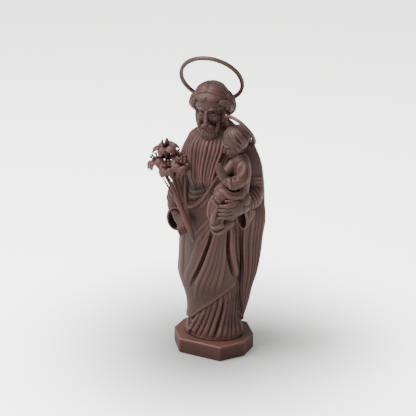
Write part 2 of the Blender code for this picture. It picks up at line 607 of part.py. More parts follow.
def figure_body():
    """The man and the child as one fused body, its underside cut flat."""
    forms = [tunic(), apron(), cloak()]
    forms.append(limb("neck", ((2, 0, 210), (1, -3, 222), (0.5, -5, 234)), (12, 9.6, 9)))
    forms += right_arm() + left_arm() + child_body()
    forms += [joseph_head(), child_head()]
    body = fused("figure_group", forms, VOXEL)
    carve(body, GOWN_FOLDS, 2.6, 1.6)
    carve(body, GOWN_SWAGS, 2.4, 1.5)
    carve(body, GOWN_SLEEVE, 2, 1.1)
    carve(body, GOWN_BACK, 2, -1)
    carve(body, CLOAK_GAP, 3.4, -3)
    body = thinned(body, FIGURE_TRIANGLES)
    clay = bmesh.new()
    clay.from_mesh(body.data)
    geometry = clay.verts[:] + clay.edges[:] + clay.faces[:]
    bmesh.ops.bisect_plane(clay, geom=geometry, plane_co=(0, 0, 0), plane_no=(0, 0, -1), clear_outer=True)
    bmesh.ops.holes_fill(clay, edges=[edge for edge in clay.edges if edge.is_boundary], sides=0)
    bmesh.ops.triangulate(clay, faces=clay.faces)
    clay.to_mesh(body.data)
    clay.free()
    return body


def thinned(body, triangles):
    """The same shape with about the given number of triangles."""
    bpy.context.scene.collection.objects.link(body)
    faces = sum(len(face.vertices) - 2 for face in body.data.polygons)
    decimate = body.modifiers.new("Thin", "DECIMATE")
    decimate.ratio = triangles / faces
    decimate.use_collapse_triangulate = True
    return applied(body)


# Lily spray: all stems gather at one foot in the hand
STEM_FOOT, STEM_WAIST = (-6.5, -35, 111), (-13.5, -35.5, 133)
# Each bloom: throat, lean of its axis, reach of the petals
BLOOMS = (
    ((-36.5, -30, 197.5), (-0.12, -0.1, 1), 14), ((-46, -31, 183.5), (-0.5, -0.2, 0.85), 12.5),
    ((-29.5, -38, 181.5), (-0.1, -0.5, 0.85), 11), ((-20, -33, 184), (0.35, -0.2, 0.9), 11),
)
# How a petal arches: share of its reach outwards, height over the throat
PETAL_ARCH = ((0.1, -1), (0.4, 3.6), (0.75, 3.8), (1, -0.8))
BUD = ((-36.5, -30, 196), (-36, -30, 204), (-35.6, -30, 210))
# Each blade: three points from its foot to its tip, and its width
BLADES = (
    (((-8, -35.5, 113), (-21, -36.5, 142), (-38.5, -33, 169.5)), 1.9),
    (((-8, -34, 113), (-16, -34, 145), (-16, -31, 174)), 1.8),
    (((-8, -36.5, 113), (-21, -38.5, 148), (-30, -36, 171)), 2.2),
    (((-8, -34, 113), (-19, -33, 146), (-25, -31, 172)), 2.0),
)


def bloom(throat, lean, reach):
    """A lily: a funnel, six petals that arch out and curl down, and upright stamens."""
    forms = [limb("tube", ((0, 0, -15), (0, 0, -7), (0, 0, 0)), (1.4, 2, 3.4))]
    for turn in range(0, 360, 60):
        angle = math.radians(turn + 20)
        out = Vector((math.cos(angle), math.sin(angle), 0))
        side = (-math.sin(angle), math.cos(angle), 0)
        path = [out * reach * share + Vector((0, 0, rise)) for share, rise in PETAL_ARCH]
        forms.append(limb("petal", path, (2, 3.4, 3.2, 0.9), 0.3, side, around=12, steps=12))
    for turn in range(0, 360, 90):
        angle = math.radians(turn)
        tip = Vector((3.4 * math.cos(angle), 3.4 * math.sin(angle), 10))
        forms.append(limb("stamen", ((0, 0, 0), tip), (0.9, 0.9), around=8, steps=6))
        forms.append(ball("anther", tip, (1.2, 1.2, 1.8), detail=1))
    axis = Vector(lean).normalized()
    place = Matrix.Translation(throat) @ axis.to_track_quat("Z", "Y").to_matrix().to_4x4()
    for form in forms:
        form.data.transform(place)
    return forms


def lily_spray():
    forms = []
    for throat, lean, reach in BLOOMS:
        forms += bloom(throat, lean, reach)
        below = Vector(throat) - 13 * Vector(lean).normalized()
        stem = (STEM_FOOT, STEM_WAIST, (Vector(STEM_WAIST) + below) / 2 + Vector((0, 0, 1)), below)
        forms.append(limb("stem", stem, (STEM_RADIUS / UNIT,) * 4, around=10, steps=20))
    for path, width in BLADES:
        forms.append(limb("blade", path, (1.4, width, 0.8), 0.45, (1, 0.3, 0), around=12, steps=20))
    forms.append(limb("bud", BUD, (1.6, 2.2, 0.9), around=12))
    return thinned(fused("lily_spray", forms, LILY_VOXEL), LILY_TRIANGLES)


# Rings: the point of the head that the ring's foot is let into, its bow forwards and its turn to the side
HALO_SEAT, HALO_BOW, HALO_TURN = (-5.3, 17, 240.3), 35, 9
CHILD_HALO_SEAT, CHILD_HALO_BOW, CHILD_HALO_TURN = (39.4, -7.5, 208.5), 34, -26


def ring(name, radius, band, thickness):
    """A flat ring round the Y axis: a chamfered section spun full circle."""
    half_band, half_thick, edge = band / 2, thickness / 2, RING_EDGE
    corners = (
        (half_band, half_thick - edge), (half_band - edge, half_thick), (edge - half_band, half_thick),
        (-half_band, half_thick - edge), (-half_band, edge - half_thick), (edge - half_band, -half_thick),
        (half_band - edge, -half_thick), (half_band, edge - half_thick),
    )
    clay = bmesh.new()
    rim = [clay.verts.new((radius + out, along, 0)) for out, along in corners]
    section = [clay.edges.new(pair) for pair in zip(rim, rim[1:] + rim[:1])]
    bmesh.ops.spin(
        clay, geom=rim + section, cent=(0, 0, 0), axis=(0, 1, 0), angle=2 * math.pi,
        steps=RING_STEPS, use_merge=True,
    )
    bmesh.ops.recalc_face_normals(clay, faces=clay.faces)
    return object_of(name, clay)


def ring_place(seat, radius, bow, turn):
    """Where a ring goes: it stands up from its seat by its own radius."""
    tilt = Euler((math.radians(bow), 0, math.radians(turn))).to_matrix().to_4x4()
    return Matrix.Translation(figure_frame() @ Vector(seat)) @ tilt @ Matrix.Translation((0, 0, radius))


def figure_frame():
    return Matrix.Translation((0, 0, PLINTH_HEIGHT + SEAT_GAP)) @ Matrix.Scale(UNIT, 4)


def plinth():
    """The base block: an outline with four cut corners, extruded, its edges rounded."""
    half_width, half_depth = PLINTH_WIDTH / 2, PLINTH_DEPTH / 2
    along, up = half_width - CORNER_ALONG_FRONT, half_depth - CORNER_ALONG_SIDE
    outline = [
        (along, -half_depth), (half_width, -up), (half_width, up), (along, half_depth),
        (-along, half_depth), (-half_width, up), (-half_width, -up), (-along, -half_depth),
    ]
    clay = bmesh.new()
    base = clay.faces.new([clay.verts.new((x, y, 0)) for x, y in outline])
    top = bmesh.ops.extrude_face_region(clay, geom=[base])["geom"]
    raised = [part for part in top if isinstance(part, bmesh.types.BMVert)]
    bmesh.ops.translate(clay, verts=raised, vec=(0, 0, PLINTH_HEIGHT))
    bmesh.ops.recalc_face_normals(clay, faces=clay.faces)
    block = object_of("plinth", clay)
    bevel = block.modifiers.new("Edges", "BEVEL")
    bevel.width = PLINTH_EDGE
    bevel.segments = 2
    return block


def material(name, colour, roughness):
    made = bpy.data.materials.new(name)
    made.use_nodes = True
    shader = made.node_tree.nodes["Principled BSDF"]
    shader.inputs["Base Color"].default_value = (*colour, 1)
    shader.inputs["Roughness"].default_value = roughness
    shader.inputs["Metallic"].default_value = 0
    return made


def collection(name):
    made = bpy.data.collections.new(name)
    bpy.context.scene.collection.children.link(made)
    return made


def cutter_of(piece, grow):
    """An enlarged copy of a piece, which cuts its clearance in the figure."""
    cutter = bpy.data.objects.new(piece.name + "_clearance", piece.data.copy())
    points, normals = mesh_arrays(cutter.data)
    points += normals * grow
    cutter.data.vertices.foreach_set("co", points.astype(np.float32).ravel())
    return cutter


def main():
    for old in list(bpy.data.objects):
        bpy.data.objects.remove(old)
    figure, lilies = figure_body(), lily_spray()
    for piece in (figure, lilies):
        piece.data.transform(figure_frame())
    joseph_halo = ring("joseph_halo", HALO_RADIUS, HALO_BAND, HALO_THICKNESS)
    child_halo = ring("child_halo", CHILD_HALO_RADIUS, CHILD_HALO_BAND, CHILD_HALO_THICKNESS)
    joseph_halo.data.transform(ring_place(HALO_SEAT, HALO_RADIUS, HALO_BOW, HALO_TURN))
    child_place = ring_place(CHILD_HALO_SEAT, CHILD_HALO_RADIUS, CHILD_HALO_BOW, CHILD_HALO_TURN)
    child_halo.data.transform(child_place)

    # Colour and roughness: one brown cast material, the rings a little glossier
    looks = (
        (plinth(), (0.165, 0.078, 0.062), 0.55), (figure, (0.150, 0.072, 0.058), 0.6),
        (lilies, (0.155, 0.075, 0.060), 0.58), (joseph_halo, (0.150, 0.070, 0.056), 0.45),
        (child_halo, (0.152, 0.071, 0.057), 0.45),
    )
    statue, cutters = collection("saint_joseph_statue"), collection("cutters")
    for piece, colour, roughness in looks:
        piece.data.materials.clear()
        piece.data.materials.append(material(piece.name + "_finish", colour, roughness))
        statue.objects.link(piece)
    for piece in (joseph_halo, child_halo):
        piece.data.shade_smooth()
    for piece in (lilies, joseph_halo, child_halo):
        cutter = cutter_of(piece, CLEARANCE)
        cutter.hide_render = True
        cutter.display_type = "WIRE"
        cutters.objects.link(cutter)
        cut = figure.modifiers.new("Clearance of " + piece.name, "BOOLEAN")
        cut.operation = "DIFFERENCE"
        cut.solver = "EXACT"
        cut.object = cutter


if __name__ == "__main__":
    main()
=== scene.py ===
import math

import bmesh
import bpy
import numpy as np
from mathutils import Euler, Matrix, Vector
from mathutils.bvhtree import BVHTree


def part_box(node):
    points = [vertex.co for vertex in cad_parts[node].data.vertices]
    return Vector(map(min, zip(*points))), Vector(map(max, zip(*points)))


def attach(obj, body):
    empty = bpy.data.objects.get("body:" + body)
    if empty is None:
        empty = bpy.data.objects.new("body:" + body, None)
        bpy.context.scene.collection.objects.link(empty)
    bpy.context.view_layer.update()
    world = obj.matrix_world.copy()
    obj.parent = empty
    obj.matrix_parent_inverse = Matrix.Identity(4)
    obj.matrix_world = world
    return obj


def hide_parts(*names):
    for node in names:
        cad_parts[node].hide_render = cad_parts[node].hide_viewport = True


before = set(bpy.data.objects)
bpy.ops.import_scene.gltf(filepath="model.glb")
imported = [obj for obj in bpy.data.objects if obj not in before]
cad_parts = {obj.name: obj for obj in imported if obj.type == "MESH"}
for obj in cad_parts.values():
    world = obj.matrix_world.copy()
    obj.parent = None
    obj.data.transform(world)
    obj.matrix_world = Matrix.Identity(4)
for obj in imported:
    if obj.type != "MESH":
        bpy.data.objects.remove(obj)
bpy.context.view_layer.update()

# Everything on the figure is drawn in millimetres over the plinth's top, then set on it
figure = {
    "standsAt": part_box("figure_group")[0].z,
    "millimetre": 0.001,
    "arc": 0.5,              # millimetres round the body for each degree, for the width of folds
    "slot": "figure_finish",
    "node": "figure_group",
}


# Curves and folds

def smoothRows(rows, at):
    table = np.array(rows, float)
    at = np.clip(at, table[0, 0], table[-1, 0])
    row = np.clip(np.searchsorted(table[:, 0], at, side="right") - 1, 0, len(table) - 2)
    slopes = np.gradient(table[:, 1:], table[:, 0], axis=0)
    low, high = table[row, 0], table[row + 1, 0]
    span = (high - low)[..., None]
    share = ((at - low) / (high - low))[..., None]
    square, cube = share ** 2, share ** 3
    return (
        (2 * cube - 3 * square + 1) * table[row, 1:]
        + (cube - 2 * square + share) * span * slopes[row]
        + (3 * square - 2 * cube) * table[row + 1, 1:]
        + (cube - square) * span * slopes[row + 1]
    )


def smoothLine(points, steps=28):
    rows = [(knot, *point) for knot, point in enumerate(points)]
    return smoothRows(rows, np.linspace(0, len(points) - 1, steps))


def linesBetween(first, last, count):
    first, last = np.array(first, float), np.array(last, float)
    return [first + (last - first) * share for share in np.linspace(0, 1, count)]


# Height of one rounded fold at each point, by its distance from the fold's line
def foldHeight(points, line, halfWidth, height, taper=0.35):
    line = smoothLine(line)
    low, high = line.min(0) - halfWidth, line.max(0) + halfWidth
    near = np.all((points > low) & (points < high), axis=-1)
    raised = np.zeros(points.shape[:-1])
    if not near.any():
        return raised
    chosen = points[near]
    starts, runs = line[:-1], line[1:] - line[:-1]
    share = np.einsum("psk,sk->ps", chosen[:, None] - starts, runs) / (runs ** 2).sum(1)
    share = np.clip(share, 0, 1)
    gaps = np.linalg.norm(chosen[:, None] - starts - share[..., None] * runs, axis=2)
    best = gaps.argmin(1)
    rows = np.arange(len(best))
    along = (best + share[rows, best]) / len(runs)
    fade = np.sin(np.clip(np.minimum(along, 1 - along) / taper, 0, 1) * math.pi / 2)
    across = np.clip(1 - (gaps[rows, best] / halfWidth) ** 2, 0, 1)
    raised[near] = height * fade * np.sqrt(across)
    return raised


# A family of folds: its first line, its last line, how many, half width, height (below 0 is a groove)
# and the share of its length over which each end fades. No two folds of it are quite alike
def familyHeight(degrees, heights, family, unevenWidth=0.12, unevenHeight=0.22):
    first, last, count, halfWidth, height, taper = family
    total = np.zeros(degrees.shape)
    for turn in (-360, 0, 360):
        points = np.stack([(degrees + turn) * figure["arc"], heights], axis=-1)
        for index, line in enumerate(linesBetween(first, last, count)):
            width = halfWidth * (1 + unevenWidth * math.sin(2.4 * index))
            tall = abs(height) * (1 + unevenHeight * math.sin(1.7 * index + 1))
            total = np.maximum(total, foldHeight(points, line * (figure["arc"], 1), width, tall, taper))
    return math.copysign(1, height) * total


def singleFold(line, halfWidth, height, taper):
    return line, line, 1, halfWidth, height, taper


# Skins, tubes and balls

def objectOf(name, clay):
    mesh = bpy.data.meshes.new(name)
    clay.to_mesh(mesh)
    clay.free()
    return bpy.data.objects.new(name, mesh)


# A closed skin: a grid whose points are placed by their share round and along it
def skin(name, around, along, place):
    clay = bmesh.new()
    bmesh.ops.create_grid(clay, x_segments=around, y_segments=along, size=0.5)
    spots = np.array([vertex.co for vertex in clay.verts]) + 0.5
    for vertex, point in zip(clay.verts, place(spots[:, 0], spots[:, 1])):
        vertex.co = point
    bmesh.ops.remove_doubles(clay, verts=clay.verts, dist=0.004)
    bmesh.ops.holes_fill(clay, edges=[edge for edge in clay.edges if edge.is_boundary], sides=0)
    bmesh.ops.triangulate(clay, faces=[face for face in clay.faces if len(face.verts) > 4])
    bmesh.ops.recalc_face_normals(clay, faces=clay.faces)
    return objectOf(name, clay)


def onOval(section, degrees):
    angle = np.radians(degrees)
    centreX, centreY, left, right, front, back = section.T
    width = np.where(np.sin(angle) < 0, left, right)
    depth = np.where(np.cos(angle) > 0, front, back)
    point = np.column_stack([centreX + width * np.sin(angle), centreY - depth * np.cos(angle)])
    outward = np.column_stack([np.sin(angle) / width, -np.cos(angle) / depth])
    return point, outward / np.linalg.norm(outward, axis=1)[:, None]


# A garment: its section at each height, its two edges, its folds and how far it stands off the body
def draped(name, section, edges, folds, standOff, grid, rimShare=0.012):
    def place(roundShare, heightShare):
        degrees = roundShare * 360 - 180
        low, high = edges(degrees)
        heights = low + heightShare * (high - low)
        point, outward = onOval(section(heights), degrees)
        offset = standOff + sum(familyHeight(degrees, heights, family) for family in folds.values())
        rim = np.clip(np.minimum(heightShare, 1 - heightShare) / rimShare, 0, 1)
        rim = 0.55 + 0.45 * np.sqrt(1 - (1 - rim) ** 2)      # the edges round off to about half
        return np.column_stack([point + outward * (offset * rim)[:, None], heights])

    return skin(name, *grid, place)


def ball(name, centre, radii, turn=(0, 0, 0), detail=4):
    clay = bmesh.new()
    shape = (
        Matrix.Translation(centre)
        @ Euler([math.radians(angle) for angle in turn]).to_matrix().to_4x4()
        @ Matrix.Diagonal((*radii, 1))
    )
    bmesh.ops.create_icosphere(clay, subdivisions=detail, radius=1, matrix=shape)
    return objectOf(name, clay)


# A rounded tube through points; flat squeezes it across its side direction
def tube(name, points, radii, flat=1.0, side=(1, 0, 0), around=22, steps=30):
    path = smoothLine(points, steps)
    widths = smoothRows(list(enumerate(radii)), np.linspace(0, len(radii) - 1, steps))[:, 0]
    ahead = np.gradient(path, axis=0)
    ahead /= np.linalg.norm(ahead, axis=1)[:, None]
    across = np.array(side, float) - ahead * (ahead @ np.array(side, float))[:, None]
    across /= np.linalg.norm(across, axis=1)[:, None]
    over = np.cross(ahead, across)

    def place(roundShare, alongShare):
        ring = np.round(alongShare * (steps + 3)).astype(int)
        inner = np.clip(ring - 2, 0, steps - 1)
        past = np.where(ring < 2, 2 - ring, np.where(ring > steps + 1, ring - steps - 1, 0)) / 2
        way = np.where(ring < 2, -1, 1)
        dome, shrink = np.sin(past * math.pi / 2), np.cos(past * math.pi / 2)
        angle = roundShare * 2 * math.pi
        width = widths[inner] * shrink
        return (
            path[inner]
            + ahead[inner] * (way * dome * widths[inner] * 0.8)[:, None]
            + across[inner] * (np.cos(angle) * width)[:, None]
            + over[inner] * (np.sin(angle) * width * flat)[:, None]
        )

    return skin(name, around, steps + 3, place)


# A lock of hair: strands that twist round one path, each a share as thick as the lock
def lock(name, points, radii, strands=3, twist=1.2, start=0.0, spread=0.55, thickness=0.62, side=(0, 0, 1)):
    steps = 16
    path = smoothLine(points, steps)
    widths = smoothRows(list(enumerate(radii)), np.linspace(0, len(radii) - 1, steps))[:, 0]
    ahead = np.gradient(path, axis=0)
    ahead /= np.linalg.norm(ahead, axis=1)[:, None]
    across = np.cross(ahead, np.array(side, float) + 0.01)
    across /= np.linalg.norm(across, axis=1)[:, None]
    over = np.cross(ahead, across)
    made = []
    for strand in range(strands):
        angle = start + 2 * math.pi * (strand / strands + twist * np.linspace(0, 1, steps))
        away = across * np.cos(angle)[:, None] + over * np.sin(angle)[:, None]
        centre = path + away * (widths * spread)[:, None]
        made.append(tube(name, centre, widths * thickness, side=side, around=12, steps=22))
    return made


# A hollow cuff: a skin that runs from its root to its lip and back inside
def cuff(name, root, lip, radii, up, wall=1.5, depth=0.8, around=72, steps=18):
    root, lip = Vector(root), Vector(lip)
    ahead = (lip - root).normalized()
    up = (Vector(up) - ahead * Vector(up).dot(ahead)).normalized()
    across = up.cross(ahead)

    def place(roundShare, alongShare):
        angle = roundShare * 2 * math.pi
        outer = alongShare < 0.5
        share = np.where(outer, alongShare * 2, 1 - (alongShare * 2 - 1) * depth)
        shrink = np.where(outer, 0, wall)
        flare = 0.72 + 0.28 * share      # narrower at the root
        closing = np.where((alongShare < 1e-6) | (alongShare > 1 - 1e-6), 0, 1)
        wide, tall = ((radius * flare - shrink) * closing for radius in radii)
        middle = np.array(root) + np.outer(share, np.array(lip - root))
        return (
            middle
            + np.outer(np.cos(angle) * wide, np.array(across))
            + np.outer(np.sin(angle) * tall, np.array(up))
        )

    return skin(name, around, 2 * steps, place)


def tubes(forms):
    return [tube(name, *form) for name, form in forms.items()]


def bothSides(points):
    return [tuple(points), tuple((-x, y, z) for x, y, z in points)]


def joined(name, forms):
    clay = bmesh.new()
    for form in forms:
        clay.from_mesh(form.data)
        bpy.data.objects.remove(form)
    return objectOf(name, clay)


# One closed skin round all the given forms
def fused(name, forms, voxel, smoothing=2):
    body = joined(name, forms)
    bpy.context.scene.collection.objects.link(body)
    remesh = body.modifiers.new("fuse", "REMESH")
    remesh.mode = "VOXEL"
    remesh.voxel_size = voxel
    soften = body.modifiers.new("soften", "SMOOTH")
    soften.factor = 0.5
    soften.iterations = smoothing
    graph = bpy.context.evaluated_depsgraph_get()
    mesh = bpy.data.meshes.new_from_object(body.evaluated_get(graph))
    body.modifiers.clear()
    body.data = mesh
    bpy.context.scene.collection.objects.unlink(body)
    return body


def meshArrays(mesh):
    points = np.empty(len(mesh.vertices) * 3, np.float32)
    normals = np.empty(len(mesh.vertices) * 3, np.float32)
    mesh.vertices.foreach_get("co", points)
    mesh.vertex_normals.foreach_get("vector", normals)
    return points.reshape(-1, 3).astype(float), normals.reshape(-1, 3).astype(float)


# Raises rounded lines on a finished skin, or cuts them where the height is negative
def stroke(body, lines, halfWidth, height, taper=0.35):
    points, normals = meshArrays(body.data)
    raised = np.zeros(len(points))
    for line in lines:
        raised = np.maximum(raised, foldHeight(points, line, halfWidth, abs(height), taper))
    points += normals * (math.copysign(1, height) * raised)[:, None]
    body.data.vertices.foreach_set("co", points.astype(np.float32).ravel())
    body.data.update()


# Lines laid onto the nearest points of a skin
def snapped(body, lines, knots=9):
    corners = [vertex.co for vertex in body.data.vertices]
    tree = BVHTree.FromPolygons(corners, [face.vertices for face in body.data.polygons])
    return [[tree.find_nearest(Vector(point))[0] for point in smoothLine(line, knots)] for line in lines]


# Shader expressions

class Wire:
    def __init__(self, tree, socket):
        self.tree = tree
        self.socket = socket

    def node(self, kind, settings=None, inputs=None, output=0):
        made = self.tree.nodes.new(kind)
        for name, value in (settings or {}).items():
            if name == "stops":
                for index, (position, colour) in enumerate(value):
                    if index > 1:
                        made.color_ramp.elements.new(position)
                    made.color_ramp.elements[index].position = position
                    made.color_ramp.elements[index].color = (*colour, 1)
            else:
                setattr(made, name, value)
        for key, value in (inputs or {}).items():
            if isinstance(value, Wire):
                self.tree.links.new(value.socket, made.inputs[key])
            else:
                made.inputs[key].default_value = value
        return Wire(self.tree, made.outputs[output])

    def maths(self, operation, *values):
        return self.node("ShaderNodeMath", {"operation": operation}, dict(enumerate(values)))

    def __add__(self, other):
        return self.maths("ADD", self, other)

    def __radd__(self, other):
        return self.maths("ADD", other, self)

    def __sub__(self, other):
        return self.maths("SUBTRACT", self, other)

    def __rsub__(self, other):
        return self.maths("SUBTRACT", other, self)

    def __mul__(self, other):
        return self.maths("MULTIPLY", self, other)

    def __rmul__(self, other):
        return self.maths("MULTIPLY", other, self)

    def clamped(self, low=0.0, high=1.0):
        return self.maths("MINIMUM", self.maths("MAXIMUM", self, low), high)

    def noise(self, scale, detail, roughness=0.55):
        inputs = {"Vector": self, "Scale": scale, "Detail": detail, "Roughness": roughness}
        return self.node("ShaderNodeTexNoise", {}, inputs)

    def mixed(self, first, second):
        settings = {"data_type": "RGBA", "clamp_factor": True}
        return self.node("ShaderNodeMix", settings, {0: self, 6: first, 7: second}, output=2)


# The cast brown: painted shade darkens the grooves, worn ridges turn lighter and redder
finish = {
    # groove is painted shade, the colour that grooves and hollows take
    "groove": (0.0045, 0.0017, 0.0014),
    "body": (0.0245, 0.0096, 0.0078),
    "ridge": (0.060, 0.0245, 0.020),
    "tint": (0.031, 0.012, 0.0096),
    "roughness": 0.62, "specular": 0.22,
    "blotchScale": 38.0, "blotchDetail": 4.0,       # per metre, so about 26 mm
    "grainScale": 1400.0, "grainDetail": 2.0, "grainDepth": 0.00006, "grainStrength": 0.35,
    # how far edges, relief and blotches bring out the ridge colour
    "edgeWear": 0.85, "reliefWear": 0.45, "blotchWear": 0.35,
    # what blotches, grain and grooves add to a roughness that starts a little lower
    "roughDrop": 0.08, "blotchRough": 0.10, "grainRough": 0.06, "grooveRough": 0.12,
}


# The third argument is how dark the painted shade in the grooves turns, and the fourth scales all its
# colours: a lighter copy is painted light, a darker one painted shade
def castBrown(name, roughness=finish["roughness"], deepShare=1.0, lightness=1.0):
    made = bpy.data.materials.new(name)
    made.use_nodes = True
    tree = made.node_tree
    shader = tree.nodes["Principled BSDF"]
    place = Wire(tree, None).node("ShaderNodeTexCoord", output=3)       # Object coordinates
    relief = place.node("ShaderNodeAttribute", {"attribute_name": "relief"}, output=2)
    edge = place.node("ShaderNodeAttribute", {"attribute_name": "edge"}, output=2)
    blotch = place.noise(finish["blotchScale"], finish["blotchDetail"])
    grain = place.noise(finish["grainScale"], finish["grainDetail"])
    # the four colours scale together, so a lighter copy of the brown is painted light and a darker one
    # painted shade
    groove, body, ridge, tint = (
        (*(lightness * part for part in finish[key]), 1) for key in ("groove", "body", "ridge", "tint")
    )
    mottled = blotch.mixed(body, tint)
    # painted shade: the deeper a groove, the nearer its colour comes to the groove colour
    shadedGrooves = ((0.0 - relief) * deepShare).clamped()
    withPaintedShade = shadedGrooves.mixed(mottled, groove)
    worn = edge * finish["edgeWear"] + relief * finish["reliefWear"] + (blotch - 0.5) * finish["blotchWear"]
    colour = worn.clamped().mixed(withPaintedShade, ridge)
    rough = blotch * finish["blotchRough"] + grain * finish["grainRough"] + shadedGrooves * finish["grooveRough"]
    rough = rough + (roughness - finish["roughDrop"])
    pores = {"Strength": finish["grainStrength"], "Distance": finish["grainDepth"], "Height": grain}
    bump = place.node("ShaderNodeBump", {}, pores)
    tree.links.new(colour.socket, shader.inputs["Base Color"])
    tree.links.new(rough.socket, shader.inputs["Roughness"])
    tree.links.new(bump.socket, shader.inputs["Normal"])
    shader.inputs["Specular IOR Level"].default_value = finish["specular"]
    return made


# Wear on edges and ridges, and the painted shade in the grooves, follow how far each point stands over its
# softened surroundings, wide and fine
wearAndShade = {
    "rounds": 24, "fineRound": 4,      # rounds of softening, and the one (from 0) that gives the fine measure
    "softening": 0.6,
    "wideSize": 0.0009, "fineSize": 0.00022,        # metres that count as fully raised or sunk
}


def markRelief(piece):
    mesh = piece.data
    points, normals = meshArrays(mesh)
    pairs = np.empty(len(mesh.edges) * 2, np.int32)
    mesh.edges.foreach_get("vertices", pairs)
    ends = pairs.reshape(-1, 2).T
    degree = np.bincount(pairs, minlength=len(points)).clip(1)
    soft = points.copy()
    for step in range(wearAndShade["rounds"]):
        total = np.empty_like(soft)
        for axis in range(3):
            total[:, axis] = np.bincount(ends[0], soft[ends[1], axis], len(soft))
            total[:, axis] += np.bincount(ends[1], soft[ends[0], axis], len(soft))
        soft = soft * (1 - wearAndShade["softening"]) + total / degree[:, None] * wearAndShade["softening"]
        if step == wearAndShade["fineRound"]:
            close = ((points - soft) * normals).sum(1) / wearAndShade["fineSize"]
    far = ((points - soft) * normals).sum(1) / wearAndShade["wideSize"]
    for name, values in (("relief", far), ("edge", close)):
        held = mesh.attributes.new(name, "FLOAT", "POINT")
        held.data.foreach_set("value", np.clip(values, -1, 1).astype(np.float32))


# Sets a piece on the plinth, in metres, and hands it to the frame
def settle(piece, material, node=None, drawn=True):
    if drawn:
        size = figure["millimetre"]
        lift = Matrix.Translation((0, 0, figure["standsAt"]))
        piece.data.transform(lift @ Matrix.Scale(size, 4))
    piece.data.shade_smooth()
    piece.data.materials.clear()
    piece.data.materials.append(material)
    bpy.context.scene.collection.objects.link(piece)
    markRelief(piece)
    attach(piece, "root")
    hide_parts(node or figure["node"])
    print("made", piece.name, len(piece.data.polygons), "faces")


# Robe, the long tunic from the neck to the plinth

robe = {
    # height, centre x, centre y, half width, half depth
    "sections": (
        (-0.2, 0, 0, 32, 25.5), (3, 0, 0, 31.5, 25), (9, 0, 0, 29.5, 24), (18, 0, 0, 26.5, 22.5),
        (30, 0, 0, 25.5, 22), (40, -0.5, 0, 26.5, 22.5), (52, -1.5, 0, 29.5, 24), (66, -2, -1, 32, 25.4),
        (84, -1, -1, 31.5, 25.5), (104, -0.5, -1, 31, 25.5), (125, 0, 0, 31, 24.5), (145, 0, 0, 28, 21.5),
        (156, 0, 0, 26.5, 20), (172, 1, 1, 30, 21.5), (190, 3, 1, 33, 20), (199, 4.5, 1, 34.5, 18.5),
        (209, 5, 1, 31, 16), (217, 5, 0, 21, 13), (224, 3, -2, 12, 11), (230, 1, -3, 9, 9),
    ),
    # lines in degrees round the body and heights
    "folds": {
        "chest": (
            ((-38, 212), (-33, 184), (-27, 158)), ((22, 213), (18, 190), (12, 161)), 9, 1.95, 3.6, 0.25,
        ),
        "shoulder": (
            ((-80, 200), (-82, 184), (-74, 162)), ((-46, 206), (-46, 186), (-38, 160)), 4, 2.5, 1.8, 0.35,
        ),
        "side": (((26, 200), (25, 187), (22, 174)), ((40, 196), (36, 184), (28, 172)), 3, 1.9, 1.5, 0.4),
        "belt": (
            ((-90, 150), (-40, 149), (20, 158)), ((-90, 155), (-40, 154), (20, 163.5)), 2, 1.3, 0.6, 0.2,
        ),
        "gather": (
            ((-34, 166), (-30, 161), (-26, 156)), ((-6, 168), (-3, 163), (0, 158)), 5, 0.9, -0.9, 0.4,
        ),
        "hem": (
            ((-8, 31), (-19, 21), (-28, 12), (-38, 1)), ((42, 52), (36, 36), (26, 20), (12, 1)),
            5, 2.9, 2.6, 0.25,
        ),
        "hemSide": (
            ((50, 54), (50, 36), (42, 20), (28, 1)), ((82, 66), (86, 40), (82, 20), (74, 1)),
            5, 2.7, 2.5, 0.2,
        ),
        "instep": (((-62, 15), (-42, 6), (-20, 9)), ((-52, 24), (-38, 16), (-22, 19)), 2, 2.2, 1.3, 0.45),
        "back": (((96, 60), (98, 30), (98, -3)), ((264, 60), (262, 30), (262, -3)), 12, 3.4, 1.8, 0.25),
    },
    "standOff": -1,
    "grid": (330, 180),
}


def robeSection(heights):
    centreX, centreY, width, depth = smoothRows(robe["sections"], heights).T
    return np.column_stack([centreX, centreY, width, width, depth, depth])


def robeEdges(degrees):
    return np.full(len(degrees), robe["sections"][0][0]), np.full(len(degrees), robe["sections"][-1][0])


brown = castBrown("castBrown")
settle(draped("robe", robeSection, robeEdges, robe["folds"], robe["standOff"], robe["grid"]), brown)

